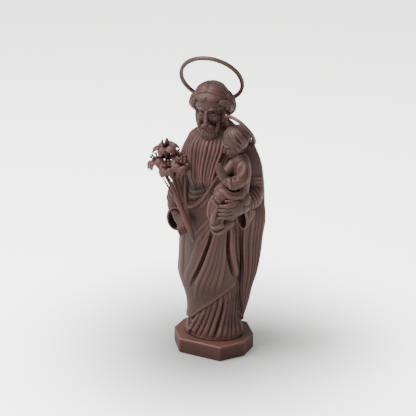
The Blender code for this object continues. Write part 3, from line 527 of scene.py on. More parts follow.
# Wrap, the front of the cloak drawn across the body
wrap = {
    # degrees round the body, lower hem, upper edge
    "edges": (
        (-180, 10, 160), (-110, 14, 148), (-75, 16, 141), (-50, 17, 142), (-33, 19.5, 145), (-5, 31.5, 153),
        (10, 37, 163), (22, 42, 178), (36, 48, 184), (55, 56, 184), (70, 65, 184), (76, 80, 184),
        (84, 140, 184), (110, 150, 180), (180, 10, 160),
    ),
    "folds": {
        "bank": (
            ((17, 126), (8, 106), (-5, 82), (-26, 50)), ((6, 122), (-3, 104), (-16, 82), (-36, 54)),
            2, 3.6, 1.2, 0.5,
        ),
        "crease": singleFold(
            ((21, 130), (17, 112), (11, 100), (1, 84), (-9, 69), (-22, 54)), 1.7, -3.4, 0.4,
        ),
        "fan": (
            ((25, 128), (21, 108), (8, 80), (-18, 40)), ((44, 126), (43, 100), (39, 76), (30, 50)),
            5, 2.2, 1.5, 0.4,
        ),
        "sideCrease": singleFold(((49, 128), (49, 106), (52, 91), (63, 70)), 1.9, -2.4, 0.3),
        "sideFold": singleFold(((56, 126), (58, 102), (63, 84), (70, 70)), 3.4, 2.6, 0.3),
        "sideEdge": singleFold(((64, 126), (68, 100), (73, 78)), 1.5, -1.6, 0.3),
        "roll": singleFold(((-64, 138), (-29, 141), (-8, 148.5), (7, 158), (21, 174)), 2.3, 1.6, 0.2),
        "underRoll": singleFold(((-6, 142), (8, 151), (24, 168)), 1.9, 1.1, 0.5),
        "lap": (((18, 136), (3, 125), (-16, 110)), ((25, 130), (14, 120), (0, 104)), 3, 1.9, 1.1, 0.5),
        "hip": (
            ((-40, 134), (-48, 100), (-44, 52)), ((-84, 128), (-82, 96), (-70, 44)), 3, 4.4, 1.3, 0.4,
        ),
    },
    "standOff": 2.6,
    "grid": (320, 150),
}


def wrapEdges(degrees):
    return smoothRows(wrap["edges"], degrees).T


settle(draped("wrap", robeSection, wrapEdges, wrap["folds"], wrap["standOff"], wrap["grid"]), brown)

# Cloak, over the left arm and down the back
cloak = {
    # height, centre y, reach to the left, to the right, to the front and to the back
    "sections": (
        (4, 3, 28, 31, 6, 21), (20, 3, 27.5, 32, 7, 22), (34, 3, 27, 34, 8, 23), (53, 3, 29, 37.5, 9, 24),
        (72, 3, 31, 43.5, 10, 26), (92, 3, 31.5, 47.5, 11, 27), (112, 3, 32, 50, 13, 27),
        (131, 3, 33, 53, 15, 26), (151, 3, 32, 53.5, 16, 25), (171, 2.5, 31, 52.5, 16, 23),
        (191, 2, 31, 49, 15, 20), (199, 2, 31, 45.5, 14, 18), (209, 2, 28, 40, 12.5, 15),
        (218, 1, 17, 29.5, 10, 12), (225, 0, 9, 21, 8, 9), (230, 0, 3, 14, 6, 6),
    ),
    # degrees round the body, height of the lower edge
    "hem": ((-180, 5), (-90, 14), (0, 26), (50, 26), (92, 20), (130, 9), (180, 5)),
    "folds": {
        "fall": (
            ((50, 146), (50, 118), (52, 92), (66, 52), (82, 22)),
            ((90, 150), (92, 118), (96, 92), (106, 56), (112, 16)), 6, 2.7, 2.8, 0.2,
        ),
        "front": singleFold(((42, 130), (44, 118), (47, 90), (58, 53), (76, 24)), 2.2, 1.8, 0.2),
        "elbow": (
            ((52, 174), (68, 173.5), (92, 174)), ((54, 164), (70, 163), (90, 161)), 4, 1.5, 0.9, 0.5,
        ),
        "forearm": (
            ((44, 151), (53, 155), (58, 145)), ((52, 160), (72, 156), (77, 142)), 3, 1.7, 1.3, 0.4,
        ),
        "back": (
            ((128, 198), (126, 100), (126, 8)), ((300, 196), (296, 100), (292, 30)), 13, 4.0, 2.2, 0.3,
        ),
    },
    "standOff": -1,
    "grid": (330, 160),
}


def cloakSection(heights):
    section = smoothRows(cloak["sections"], heights)
    return np.column_stack([np.zeros(len(section)), section])


def cloakEdges(degrees):
    return smoothRows(cloak["hem"], degrees)[:, 0], np.full(len(degrees), cloak["sections"][-1][0])


settle(draped("cloak", cloakSection, cloakEdges, cloak["folds"], cloak["standOff"], cloak["grid"]), brown)
print("draped the robe, the wrap and the cloak")


# Arms: sleeves, cuffs and hands

def fingers(knuckles, tips, radii, lift=(0, 0, 0)):
    made = []
    for knuckle, tip in zip(knuckles, tips):
        middle = (Vector(knuckle) + Vector(tip)) / 2 + Vector(lift)
        made.append(tube("finger", (knuckle, middle, tip), radii, around=16, steps=16))
    return made


def sleeveOf(name, arm):
    forms = [tube("upper arm", *arm["upper"]), tube("forearm", *arm["forearm"]), cuff("cuff", *arm["cuff"])]
    return fused(name, forms, arm["voxel"])


def handOf(name, arm, knuckles, tips):
    forms = [tube(part, *arm[part]) for part in ("wrist", "palm", "thumb")]
    forms += fingers(knuckles, tips, arm["fingerRadii"], arm["fingerLift"])
    return fused(name, forms, arm["handVoxel"], arm["handSmoothing"])


# the right hand's width runs along this direction
handWide = (0.69, 0.54, 0.467)
rightArm = {
    "upper": (((-17, 2, 202), (-25, 2, 187), (-30.5, 2, 166), (-35, 1, 146)), (12, 11.5, 11.5, 11.5)),
    "forearm": (((-35, 2, 152), (-38, -1, 140), (-39, -5, 130)), (11.5, 12.2, 10)),
    "cuff": ((-37.8, -1, 125.5), (-35.4, -15, 121), (10, 15.6), (0.14, -0.2, 0.97), 2.6),
    # first fold, last fold, how many
    "folds": {
        "elbow": (
            ((-46, 4, 156), (-46, -6, 150), (-38, -12, 143)),
            ((-47, 4, 146), (-47, -7, 140), (-40, -12, 135)), 3,
        ),
        "shoulder": (
            ((-34, -8, 190), (-38, -9, 172), (-41, -9, 152)),
            ((-26, -10, 192), (-30, -10, 172), (-33, -10, 150)), 3,
        ),
    },
    "foldSize": (2.2, 1.1),      # half width, height
    "wrist": (((-39, -8, 131), (-36, -15, 130), (-31, -20.5, 129)), (4.2, 3.8, 4.0), 0.75, handWide),
    "palm": (((-31.5, -20.5, 129), (-25.5, -26, 127.5), (-20, -30, 124.8)), (4.0, 4.9, 4.5), 0.5, handWide),
    "thumb": (((-25, -25, 130.5), (-18, -30.4, 129), (-11, -34.7, 126)), (2.2, 2.1, 1.6)),
    "knuckles": (-19.8, -30.6, 124.6), "tips": (-14.6, -35, 117), "knuckleGap": 2.5, "tipGap": 2.9,
    "fingerRadii": (1.7, 1.4, 1.1), "fingerLift": (-0.6, -1.6, 0.8),
    "voxel": 0.65, "handVoxel": 0.34, "handSmoothing": 1,
}
sleeve = sleeveOf("rightSleeve", rightArm)
for family in rightArm["folds"].values():
    stroke(sleeve, linesBetween(*family), *rightArm["foldSize"])
settle(sleeve, brown)
# the four fingers lie evenly about the middle of the row
knuckles, tips = (
    [Vector(rightArm[end]) + Vector(handWide) * rightArm[gap] * (1.5 - n) for n in range(4)]
    for end, gap in (("knuckles", "knuckleGap"), ("tips", "tipGap"))
)
settle(handOf("rightHand", rightArm, knuckles, tips), brown)

leftArm = {
    "upper": (((26, 3, 206), (34, 4, 192), (38, 4, 176), (40, 3, 160)), (10, 11, 11, 11.5)),
    "forearm": (((40, 4, 158), (43, -6, 155), (41, -17, 151)), (12, 10.5, 8.5)),
    "cuff": ((43.5, -10, 144), (41, -25, 139), (7.4, 15), (0.1, 0.2, 1), 2.2),
    # folds that hang over the forearm
    "drape": (
        ((36, -26, 156), (41, -23, 161), (48, -21, 154), (50, -21, 140), (49, -20, 126)),
        ((44, -6, 164), (50, -8, 164), (55, -8, 154), (56, -8, 140), (55, -8, 126)), 5,
    ),
    "drapeSize": (1.7, 1.4),
    "wrist": (((43, -15, 151), (46, -25, 150.5), (45.5, -33, 152)), (5, 4.6, 5), 0.8, (0, 0, 1)),
    "palm": (((45.5, -30, 151.5), (44.5, -37, 153), (42, -42, 154)), (5.2, 6.6, 6.2), 0.5, (0, 0, 1)),
    "thumb": (((45, -34, 157), (40.5, -42, 161.5), (35.5, -47, 162.5)), (2.6, 2.3, 1.5)),
    "knuckles": [(42 - 0.3 * n, -43, 159.4 - 3.4 * n) for n in range(4)],
    "tips": [(29.9 - 0.5 * n, -49, 157.6 - 4.1 * n) for n in range(4)],
    "fingerRadii": (2.3, 2.1, 1.5), "fingerLift": (1.2, -2.6, 0),
    "voxel": 0.65, "handVoxel": 0.34, "handSmoothing": 2,
}
sleeve = sleeveOf("leftSleeve", leftArm)
stroke(sleeve, snapped(sleeve, linesBetween(*leftArm["drape"])), *leftArm["drapeSize"])
settle(sleeve, brown)
settle(handOf("leftHand", leftArm, leftArm["knuckles"], leftArm["tips"]), brown)
print("made both arms")

# The man's head, in its own measure: the skull's middle, the face towards -Y
manHead = {
    "place": (0.3, -6.5, 243.2), "bow": 22, "turn": 8, "voxel": 0.46,
    "neck": (((2, 0, 210), (1, -3, 222), (0.5, -5, 234)), (12, 9.6, 9)), "neckVoxel": 1.0,
    # the shell that the hair lies on: centre and radii
    "shell": ((0, 2.8, 4.4), (15.4, 16.6, 14.8)), "capRise": 0.8, "sunk": 0.9,
    "balls": {
        "skull": ((0, 1.5, 3), (14.2, 16.6, 15.4)), "face": ((0, -5, -7), (11.6, 11.6, 13.5)),
        "chin": ((0, -9, -17), (8.6, 8.2, 9)), "beard": ((0, -12.6, -21), (9.4, 6.6, 9.4)),
    },
    "tubes": {
        "nose": (((0, -16.4, 2), (0, -18.8, -4), (0, -20.6, -8.4)), (1.5, 1.8, 2.2)),
        "lower lip": (((-2.6, -17, -14.6), (0, -18.2, -15), (2.6, -17, -14.6)), (0.8, 1.2, 0.8)),
    },
    "pairs": {
        "eye": ((5.3, -12.7, -1.5), (3.0, 2.7, 2.3)), "cheek": ((6.6, -11.6, -6.4), (4.8, 4.4, 4.6)),
        "nostril": ((1.9, -18, -8.9), (1.5, 1.8, 1.3)),
    },
    "brow": ((2.2, -14.9, 3.4), (6, -13.9, 4.2), (10.2, -10.4, 2.6)), "browRadii": (1.0, 1.3, 0.7),
    "socket": ((2.6, -15, 1), (8.8, -12.4, 0.8)), "socketCut": (2.0, -0.9, 0.5),
    "lash": ((2.8, -15, -2.6), (5.4, -15.6, -3), (8.2, -13.6, -2.4)), "lashCut": (0.6, -0.4),
    "moustache": ((0.7, -19.4, -10.8), (4.2, -18.4, -13), (7.2, -15.6, -17.5)),
    "sideBeard": (
        ((12.6, -3.5, -2), (12, -8.5, -13), (7.4, -14.5, -25)),
        ((9.4, -10.4, -9), (9, -13.6, -16), (6, -17, -25)), 2,
    ),
    # radii, strands and twist of the locks
    "moustacheLock": ((1.1, 1.6, 0.9), 3, 0.6), "sideBeardLock": ((1.8, 2.8, 2.4), 4, 0.8),
    "beardLock": ((1.7, 2.1, 0.9), 3, 0.9), "beardLocks": 9, "beardTurn": 1.7,
    # from root to tip: half spread, depth and height at the sides, and what the middle adds to the two
    "beardKnots": ((10, -11.5, -13.5, -5.6, -3), (9.4, -14.6, -21.5, -5, -2), (5.6, -16.6, -27.5, -3, -4)),
    # strands on the shell, from the parting: turn from the front, angle down from the top
    # then how many, and their radius, wave and ledge
    "hair": {
        "fringe": ((
            ((2, 46), (9, 59), (22, 67), (38, 68), (52, 68), (62, 76), (66, 90)),
            ((2, 28), (14, 34), (30, 42), (50, 54), (68, 66), (80, 86), (84, 104)), 4,
        ), 2.8, 0.5, 0.9),
        "sweep": ((
            ((5, 22), (40, 32), (66, 50), (82, 70), (88, 96)),
            ((174, 14), (132, 34), (112, 58), (102, 84), (98, 112)), 8,
        ), 2.9, 1.6, 0.0),
        "nape": ((
            ((174, 16), (136, 44), (118, 76), (110, 104), (108, 124)),
            ((180, 18), (178, 50), (177, 80), (178, 108), (180, 128)), 8,
        ), 2.6, 3.0, 0.0),
    },
    "tufts": {
        "tuft": (((12.2, -8.6, 9.4), (15.8, -6, 6), (18, -2, 0.4), (18.4, 0.4, -7)), (2.0, 3.2, 3.6, 2.0)),
        "backTuft": (((15, 1.5, 9), (18, 2, 2), (18.8, 4, -5), (16, 3.4, -12)), (2.8, 3.9, 4.1, 2.4)),
        "sideFall": (((10, 9, 10), (14.6, 11.5, -1), (15.2, 11, -11), (12, 9, -17.5)), (3.6, 4.6, 4.8, 3)),
        "backFall": (((4, 15, 11), (5, 18, -1), (5.5, 17.2, -11), (5, 13.5, -19)), (3.6, 4.8, 4.9, 3.2)),
    },
    "tuftLock": (5, 0.7),
}


def onShell(shell, turns, downs, lift=0.0):
    (centreX, centreY, centreZ), (width, depth, height) = shell
    turns, downs = np.radians(turns), np.radians(downs)
    return np.column_stack([
        centreX + (width + lift) * np.sin(downs) * np.sin(turns),
        centreY - (depth + lift) * np.sin(downs) * np.cos(turns),
        centreZ + (height + lift) * np.cos(downs),
    ])


# Wavy strands that lie side by side on the shell, no two with the same wave
def strands(shell, family, radius, wave, ledge, steps=18):
    made = []
    for index, line in enumerate(linesBetween(*family)):
        turns, downs = smoothLine(line, steps).T
        share = np.linspace(0, 1, steps)
        # the parting runs straight over the crown, so a strand that starts beside it starts at the top
        downs = downs * (1 - np.abs(np.sin(np.radians(turns))) * (1 - share) ** 2)
        turns = turns + wave * np.sin(2 * math.pi * (1.6 * share + 0.29 * index)) * share
        downs = downs + wave * np.cos(2 * math.pi * (1.4 * share + 0.41 * index)) * share
        lift = 0.4 * math.sin(index * 2.4) - manHead["sunk"] + ledge * (index == 0)
        path = onShell(shell, turns, downs, lift)
        radii = (radius * 0.7, radius, radius, radius * 0.75)
        made += [tube("strand", path * (side, 1, 1), radii, around=12, steps=24) for side in (1, -1)]
    return made


# Skull, face and the shell under the hair, for both heads
def headForms(head):
    centre, radii = head["shell"]
    forms = [ball(name, *form) for name, form in head["balls"].items()]
    forms.append(ball("cap", centre, [radius + head["capRise"] for radius in radii]))
    forms += tubes(head["tubes"])
    for side in (-1, 1):
        forms += [ball(name, (side * x, y, z), size) for name, ((x, y, z), size) in head["pairs"].items()]
    return forms + [tube("brow", line, head["browRadii"]) for line in bothSides(head["brow"])]


manForms = headForms(manHead)
for line in bothSides(manHead["moustache"]):
    manForms += lock("moustache", line, *manHead["moustacheLock"])
for line in linesBetween(*manHead["sideBeard"]):
    for side in bothSides(line):
        manForms += lock("side beard", side, *manHead["sideBeardLock"])
for name, (points, radii) in manHead["tufts"].items():
    for line in bothSides(points):
        manForms += lock(name, line, radii, *manHead["tuftLock"])
for look in manHead["hair"].values():
    manForms += strands(manHead["shell"], *look)
for index, share in enumerate(np.linspace(-1, 1, manHead["beardLocks"])):
    bulge = 1 - share ** 2
    path = [
        (share * spread, depth + moreDepth * bulge, height + moreHeight * bulge)
        for spread, depth, height, moreDepth, moreHeight in manHead["beardKnots"]
    ]
    manForms += lock("beard lock", path, *manHead["beardLock"], index * manHead["beardTurn"])
man = fused("manHead", manForms, manHead["voxel"], 1)
stroke(man, bothSides(manHead["socket"]), *manHead["socketCut"])
stroke(man, bothSides(manHead["lash"]), *manHead["lashCut"])


def headFrame(place, bow, turn, size=1.0):
    tilt = Euler((math.radians(bow), 0, math.radians(turn))).to_matrix().to_4x4()
    return Matrix.Translation(place) @ tilt @ Matrix.Scale(size, 4)


man.data.transform(headFrame(manHead["place"], manHead["bow"], manHead["turn"]))
settle(man, brown)
settle(fused("manNeck", [tube("neck", *manHead["neck"])], manHead["neckVoxel"]), brown)
print("made the man's head")

# The child's head, made the same way
childHead = {
    "place": (33, -19.5, 213), "bow": 18, "turn": -58, "size": 0.70, "voxel": 0.52,
    "balls": {
        "skull": ((0, 1.5, 3), (16, 17.4, 16)), "face": ((0, -6, -7), (12.5, 11.5, 12)),
        "cheeks": ((0, -9, -10), (10.5, 7.5, 6.5)), "chin": ((0, -11.5, -15.5), (4.6, 4.4, 4)),
    },
    "shell": ((0, 3, 5), (16.2, 16.8, 14.8)), "capRise": 0,
    "tubes": {
        "nose": (((0, -16.5, -2), (0, -18.6, -6), (0, -19.6, -8.6)), (1.3, 1.6, 2.1)),
        "lips": (((-2.4, -16.4, -12.2), (0, -17.6, -12.2), (2.4, -16.4, -12.2)), (0.9, 1.3, 0.9)),
    },
    "pairs": {"eye": ((5.6, -13.6, -3.4), (3.2, 2.6, 2.4)), "ear": ((14.6, -1, -5), (2.4, 3, 4.4))},
    "brow": ((2, -17, -0.4), (6.4, -16, 1), (11, -12.4, -0.6)), "browRadii": (1.1, 1.3, 0.9),
}
childForms = headForms(childHead)
# Wavy locks run out from the crown to the fringe, the temples and the nape
crown = {
    "locks": 26, "radii": (1.6, 2.4, 2.7, 2.3, 1.1),
    # degrees down from the top to the fringe and to the nape, and the turn from the front where this begins
    "fringe": 58, "lowest": 116, "fringeTurn": 78,
    "swirl": 16, "sway": 6, "shorter": 0.06, "lift": 0.2, "unevenLift": 0.8, "start": 0.06, "knots": 7,
}
for index, turn in enumerate(np.linspace(-180, 180, crown["locks"], endpoint=False)):
    nape = min(1, abs(turn) / crown["fringeTurn"])
    lowest = crown["fringe"] + (crown["lowest"] - crown["fringe"]) * nape
    shares = np.linspace(crown["start"], 1, crown["knots"])
    turns = turn + crown["swirl"] * shares + crown["sway"] * np.sin(shares * 7 + index * 2.1) * shares
    downs = lowest * shares * (1 - crown["shorter"] * (index % 3))
    lift = crown["lift"] + crown["unevenLift"] * np.sin(index * 2.7) ** 2
    path = onShell(childHead["shell"], turns, downs, lift)
    childForms.append(tube("wave", path, crown["radii"], around=12, steps=24))
child = fused("childHead", childForms, childHead["voxel"], 1)
child.data.transform(headFrame(childHead["place"], childHead["bow"], childHead["turn"], childHead["size"]))
settle(child, brown)

# The child's gown, legs and hands
gown = {
    "voxel": 0.55,
    "forms": {
        "torso": (((37, -20, 197), (38.5, -20.5, 187), (38.5, -22, 176), (37, -24, 166)), (8.6, 10, 9.6, 11)),
        "neck": (((34, -20, 204), (35.5, -20, 198)), (5.2, 5.6)),
        "nearShoulder": (((42, -24, 193), (44.5, -28, 185), (43, -32, 179)), (6, 6.2, 6.4)),
        "nearForearm": (((43, -32, 179), (36.5, -36.5, 177.5), (30.5, -39.5, 181.5)), (6.4, 6.2, 4.0)),
        "farArm": (((32, -24, 192), (27, -33, 183), (27.5, -38.5, 183)), (5.6, 4.8, 3.4)),
        "nearThigh": (((38, -27, 165), (33, -36, 165.5), (27, -42, 165)), (10.5, 9, 7.5)),
        "farThigh": (((30, -20, 165), (27, -29, 168), (23.5, -36, 167)), (9, 8, 6.2)),
        "nearShin": (((26.5, -42, 163), (23, -43, 151), (24, -41, 138)), (7.4, 7.2, 7.6)),
        "farShin": (((23.5, -36, 165), (21.5, -37, 153), (20.5, -37, 141)), (6, 6.6, 6)),
        "hem": (((20, -39, 139), (25.5, -42, 133), (34, -36, 138)), (5, 6.8, 6)),
        "seat": (((42, -24, 160), (38, -32, 152), (32, -36, 144)), (9, 8.6, 7)),
    },
    # lines, half width, height
    "folds": {
        "underArm": ((
            (
                (26, -39, 174.5), (31.2, -38, 172), (36.4, -38, 170.8), (40.8, -34, 170.7), (47, -34, 175.7),
                (49, -30, 178),
            ),
        ), 1.7, -1.6),
        "sleeve": ((
            ((46.5, -27, 196), (46, -31, 188), (43, -34, 182)),
            ((41, -30, 195.4), (39.5, -32, 190), (38.5, -34, 186)),
            ((48.5, -26, 192), (48.5, -29, 184), (46, -33, 178.5)),
            ((34, -40, 183), (37, -39, 177), (43, -37, 175)),
        ), 1.9, 1.3),
        "sleeveLoop": ((((36.5, -34, 187), (39, -36, 184), (41.5, -37, 180.5)),), 1.5, -1.8),
        "lap": ((
            ((24, -44, 163), (20, -46, 152), (17.5, -46, 140)),
            ((28, -46, 160), (24, -48, 148), (21.5, -48, 136)),
            ((20.5, -44, 166), (17.5, -44, 156), (16.5, -43, 145)),
            ((37, -43, 153), (34, -46, 143), (29, -48, 133)),
            ((26, -43, 170), (34, -40, 166), (44, -34, 164)),
        ), 2.2, 1.7),
        "knee": ((
            ((21.5, -46, 166.5), (23.6, -46, 163.8), (28.8, -46, 157.6), (35.1, -46, 155.2)),
        ), 1.6, -1.7),
        "swags": ((
            ((17, -44, 138), (24, -47, 134.5), (32, -45, 139)),
            ((18, -43, 132), (25, -46, 128), (33, -44, 133)),
        ), 1.9, 1.6),
        "swagGroove": ((((17.5, -44, 135), (25, -46, 131.3), (32.5, -45, 136)),), 1.2, -1.3),
    },
}
dress = fused("childGown", tubes(gown["forms"]), gown["voxel"])
for lines, halfWidth, height in gown["folds"].values():
    stroke(dress, snapped(dress, lines), halfWidth, height)
settle(dress, brown)
childHands = {
    "voxel": 0.25,
    "palms": {
        "near": (((30.5, -40.5, 182), (29, -42, 188), (26.9, -42.5, 197)), (3.2, 3.9, 1.5), 0.55, (1, 1, 0)),
        "far": (((28, -38.5, 183), (25.8, -40.5, 189), (24.3, -41.5, 196.5)), (3, 3.5, 1.4), 0.55, (1, 1, 0)),
    },
    "betweenFingers": (
        ((31, -43, 188), (29.4, -43, 193), (27.8, -43, 197)),
        ((27.4, -45, 188), (26.6, -45, 193), (26, -45, 197)), 3,
    ),
    "grooveSize": (0.5, -0.55),
}
palms = fused("childHands", tubes(childHands["palms"]), childHands["voxel"])
stroke(palms, snapped(palms, linesBetween(*childHands["betweenFingers"])), *childHands["grooveSize"])
settle(palms, brown)
print("made the child")

# Lily spray: the stems gather at one foot, past the hand
lilies = {
    "foot": (-4.4, -36, 111.5), "waist": (-11.5, -36, 133), "stemRadius": 1.8, "stemBelow": 13,
    # throat, lean of the axis, reach of the petals
    "blooms": (
        ((-36.5, -30, 197.5), (-0.12, -0.1, 1), 14), ((-44.5, -31, 183.5), (-0.45, -0.2, 0.85), 12.5),
        ((-29.5, -38, 181.5), (-0.1, -0.5, 0.85), 11), ((-20, -33, 184), (0.35, -0.2, 0.9), 11),
        ((-24, -29, 189.5), (0.3, -0.1, 0.95), 9),
    ),
    "trumpet": (((0, 0, -15), (0, 0, -7), (0, 0, 0)), (1.9, 3.0, 4.0)),
    # share of the petal's reach, height over the throat, half width
    "petal": ((0.08, -1.5, 2.2), (0.32, 3.4, 4.6), (0.6, 5.2, 5.8), (0.86, 3.2, 4.8), (1.0, -0.4, 1.8)),
    "petals": 6, "firstTurn": 20, "petalThickness": 2.2,
    # how far the edges hang at a half width of 3.4, and the groove's share of it and of the width
    "petalCup": -0.9, "midrib": 0.35, "midribWidth": 0.25,
    # every other petal is shorter and narrower by these shares
    "shorter": 0.06, "narrower": 0.2,
    "stamens": 5, "stamenTip": (3.2, 9.6), "stamenRadii": (0.8, 0.7, 0.7), "anther": (1.1, 1.1, 1.7),
    "bud": (((-36.5, -30, 196), (-36, -30, 204), (-35.6, -30, 210)), (1.6, 2.2, 0.9)),
    "blades": (
        (((-5, -36.5, 113), (-17.5, -37, 142), (-38.5, -33, 169.5)), 1.9),
        (((-4.5, -35, 113), (-13, -35, 142), (-16, -31, 174)), 1.8),
        (((-5, -37.5, 113), (-17.5, -39, 146), (-30, -36, 171)), 2.2),
        (((-4.5, -35, 113), (-15, -34, 146), (-25, -31, 172)), 2.0),
    ),
    "bladeEnds": (1.4, 0.8), "bladeShape": (0.45, (1, 0.3, 0)),     # how flat, and its wide direction
    # the lilies' brown has less painted shade in its grooves, and lighter colours as painted light
    "voxel": 0.42, "finish": {"deepShare": 0.45, "lightness": 1.2},
    "slot": "lily_spray_finish", "node": "lily_spray",
}


# A petal: a thin cupped shell with a groove down its middle
def petal(reach, turn, fullness):
    rows, across = 22, 14
    shares, rises, widths = smoothLine(lilies["petal"], rows + 1).T

    def place(roundShare, alongShare):
        row = np.round(alongShare * rows).astype(int)
        angle = roundShare * 2 * math.pi
        sideways = np.cos(angle) * widths[row] * fullness
        groove = lilies["midrib"] * np.exp(-(np.cos(angle) / lilies["midribWidth"]) ** 2)
        cup = lilies["petalCup"] * (np.cos(angle) ** 2 - groove) * widths[row] / 3.4
        thick = np.sin(angle) * lilies["petalThickness"] * 0.5
        return np.column_stack([reach * shares[row], sideways, rises[row] + cup + thick])

    made = skin("petal", 2 * across, rows, place)
    made.data.transform(Matrix.Rotation(turn, 4, "Z"))
    return made


def bloom(throat, lean, reach):
    forms = [tube("tube", *lilies["trumpet"])]
    for index in range(lilies["petals"]):
        turn = math.radians(360 / lilies["petals"] * index + lilies["firstTurn"])
        shorter, narrower = (lilies[key] * (index % 2) for key in ("shorter", "narrower"))
        forms.append(petal(reach * (1 - shorter), turn, 1 - narrower))
    outward, upward = lilies["stamenTip"]
    for index in range(lilies["stamens"]):
        angle = math.radians(360 / lilies["stamens"] * index)
        tip = Vector((outward * math.cos(angle), outward * math.sin(angle), upward))
        forms.append(tube("stamen", ((0, 0, 0), tip * 0.55, tip), lilies["stamenRadii"], around=8, steps=8))
        forms.append(ball("anther", tip, lilies["anther"], detail=2))
    axis = Vector(lean).normalized()
    place = Matrix.Translation(throat) @ axis.to_track_quat("Z", "Y").to_matrix().to_4x4()
    for form in forms:
        form.data.transform(place)
    return forms


lilyForms = []
for throat, lean, reach in lilies["blooms"]:
    lilyForms += bloom(throat, lean, reach)
    below = Vector(throat) - lilies["stemBelow"] * Vector(lean).normalized()
    halfWay = (Vector(lilies["waist"]) + below) / 2 + Vector((0, 0, 1))
    path = (lilies["foot"], lilies["waist"], halfWay, below)
    lilyForms.append(tube("stem", path, (lilies["stemRadius"],) * 4, around=14, steps=30))
root, tip = lilies["bladeEnds"]
for path, width in lilies["blades"]:
    lilyForms.append(tube("blade", path, (root, width, tip), *lilies["bladeShape"], around=16, steps=30))
lilyForms.append(tube("bud", *lilies["bud"]))
lilyBrown = castBrown("lilyBrown", **lilies["finish"])
settle(fused("lilySpray", lilyForms, lilies["voxel"], 1), lilyBrown, lilies["node"])
print("made the lilies")

# Rings over both heads, each stood on its seat and leaned forwards
rings = {
    "manRing": {
        "seat": (-5.3, 17, 240.3), "bow": 35, "turn": 9, "radius": 30, "band": 3.6, "thickness": 2.9,
        "node": "joseph_halo", "slot": "joseph_halo_finish",
    },
    "childRing": {
        "seat": (39.4, -7.5, 208.5), "bow": 34, "turn": -26, "radius": 18, "band": 3.2, "thickness": 2.7,
        "node": "child_halo", "slot": "child_halo_finish",
    },
}
# the rings' brown is darker, as painted shade
ringMaking = {"steps": 120, "edge": 0.5, "longest": 1.2, "roughness": 0.5, "lightness": 0.9}
ringBrown = castBrown("ringBrown", ringMaking["roughness"], lightness=ringMaking["lightness"])
for name, ring in rings.items():
    clay = bmesh.new()
    halfBand, halfThick = ring["band"] / 2, ring["thickness"] / 2
    corners = ((-halfBand, -halfThick), (halfBand, -halfThick), (halfBand, halfThick), (-halfBand, halfThick))
    rim = [clay.verts.new((ring["radius"] + out, along, 0)) for out, along in corners]
    section = [clay.edges.new(pair) for pair in zip(rim, rim[1:] + rim[:1])]
    bmesh.ops.spin(
        clay, geom=rim + section, cent=(0, 0, 0), axis=(0, 1, 0), angle=2 * math.pi,
        steps=ringMaking["steps"], use_merge=True,
    )
    sharp = [edge for edge in clay.edges if edge.calc_face_angle(0) > 1]
    bmesh.ops.bevel(
        clay, geom=sharp, offset=ringMaking["edge"], affect="EDGES", segments=3, profile=0.5, material=-1,
    )
    long = [edge for edge in clay.edges if edge.calc_length() > ringMaking["longest"]]
    bmesh.ops.subdivide_edges(clay, edges=long, cuts=2, use_grid_fill=True)
    bmesh.ops.recalc_face_normals(clay, faces=clay.faces)
    made = objectOf(name, clay)
    upright = Matrix.Translation((0, 0, ring["radius"]))
    made.data.transform(headFrame(ring["seat"], ring["bow"], ring["turn"]) @ upright)
    settle(made, ringBrown, ring["node"])

# Plinth, a block with four cut corners and softened edges
plinth = {
    "width": 80, "depth": 66, "height": 16, "alongFront": 17, "alongSide": 21.7, "edge": 1.2, "facet": 1.3,
    # the plinth's brown is lighter, as painted light
    "roughness": 0.55, "lightness": 1.5, "node": "plinth", "slot": "plinth_finish",
}
clay = bmesh.new()
halfWidth, halfDepth = plinth["width"] / 2, plinth["depth"] / 2
along, up = halfWidth - plinth["alongFront"], halfDepth - plinth["alongSide"]
outline = [
    (along, -halfDepth), (halfWidth, -up), (halfWidth, up), (along, halfDepth),
    (-along, halfDepth), (-halfWidth, up), (-halfWidth, -up), (-along, -halfDepth),
]
base = clay.faces.new([clay.verts.new((x, y, 0)) for x, y in outline])
top = bmesh.ops.extrude_face_region(clay, geom=[base])["geom"]
raised = [part for part in top if isinstance(part, bmesh.types.BMVert)]
bmesh.ops.translate(clay, verts=raised, vec=(0, 0, plinth["height"]))
bmesh.ops.recalc_face_normals(clay, faces=clay.faces)
bmesh.ops.bevel(
    clay, geom=clay.edges[:], offset=plinth["edge"], affect="EDGES", segments=4, profile=0.5, material=-1,
)
for axis, reach in (((1, 0, 0), halfWidth), ((0, 1, 0), halfDepth), ((0, 0, 1), plinth["height"])):
    for cut in np.arange(-reach, reach, plinth["facet"]):
        whole = clay.verts[:] + clay.edges[:] + clay.faces[:]
        bmesh.ops.bisect_plane(clay, geom=whole, dist=0.0001, plane_co=Vector(axis) * cut, plane_no=axis)
block = objectOf("plinthBlock", clay)
block.data.transform(Matrix.Scale(figure["millimetre"], 4))
plinthBrown = castBrown("plinthBrown", plinth["roughness"], lightness=plinth["lightness"])
settle(block, plinthBrown, plinth["node"], drawn=False)
print("made the rings and the plinth")

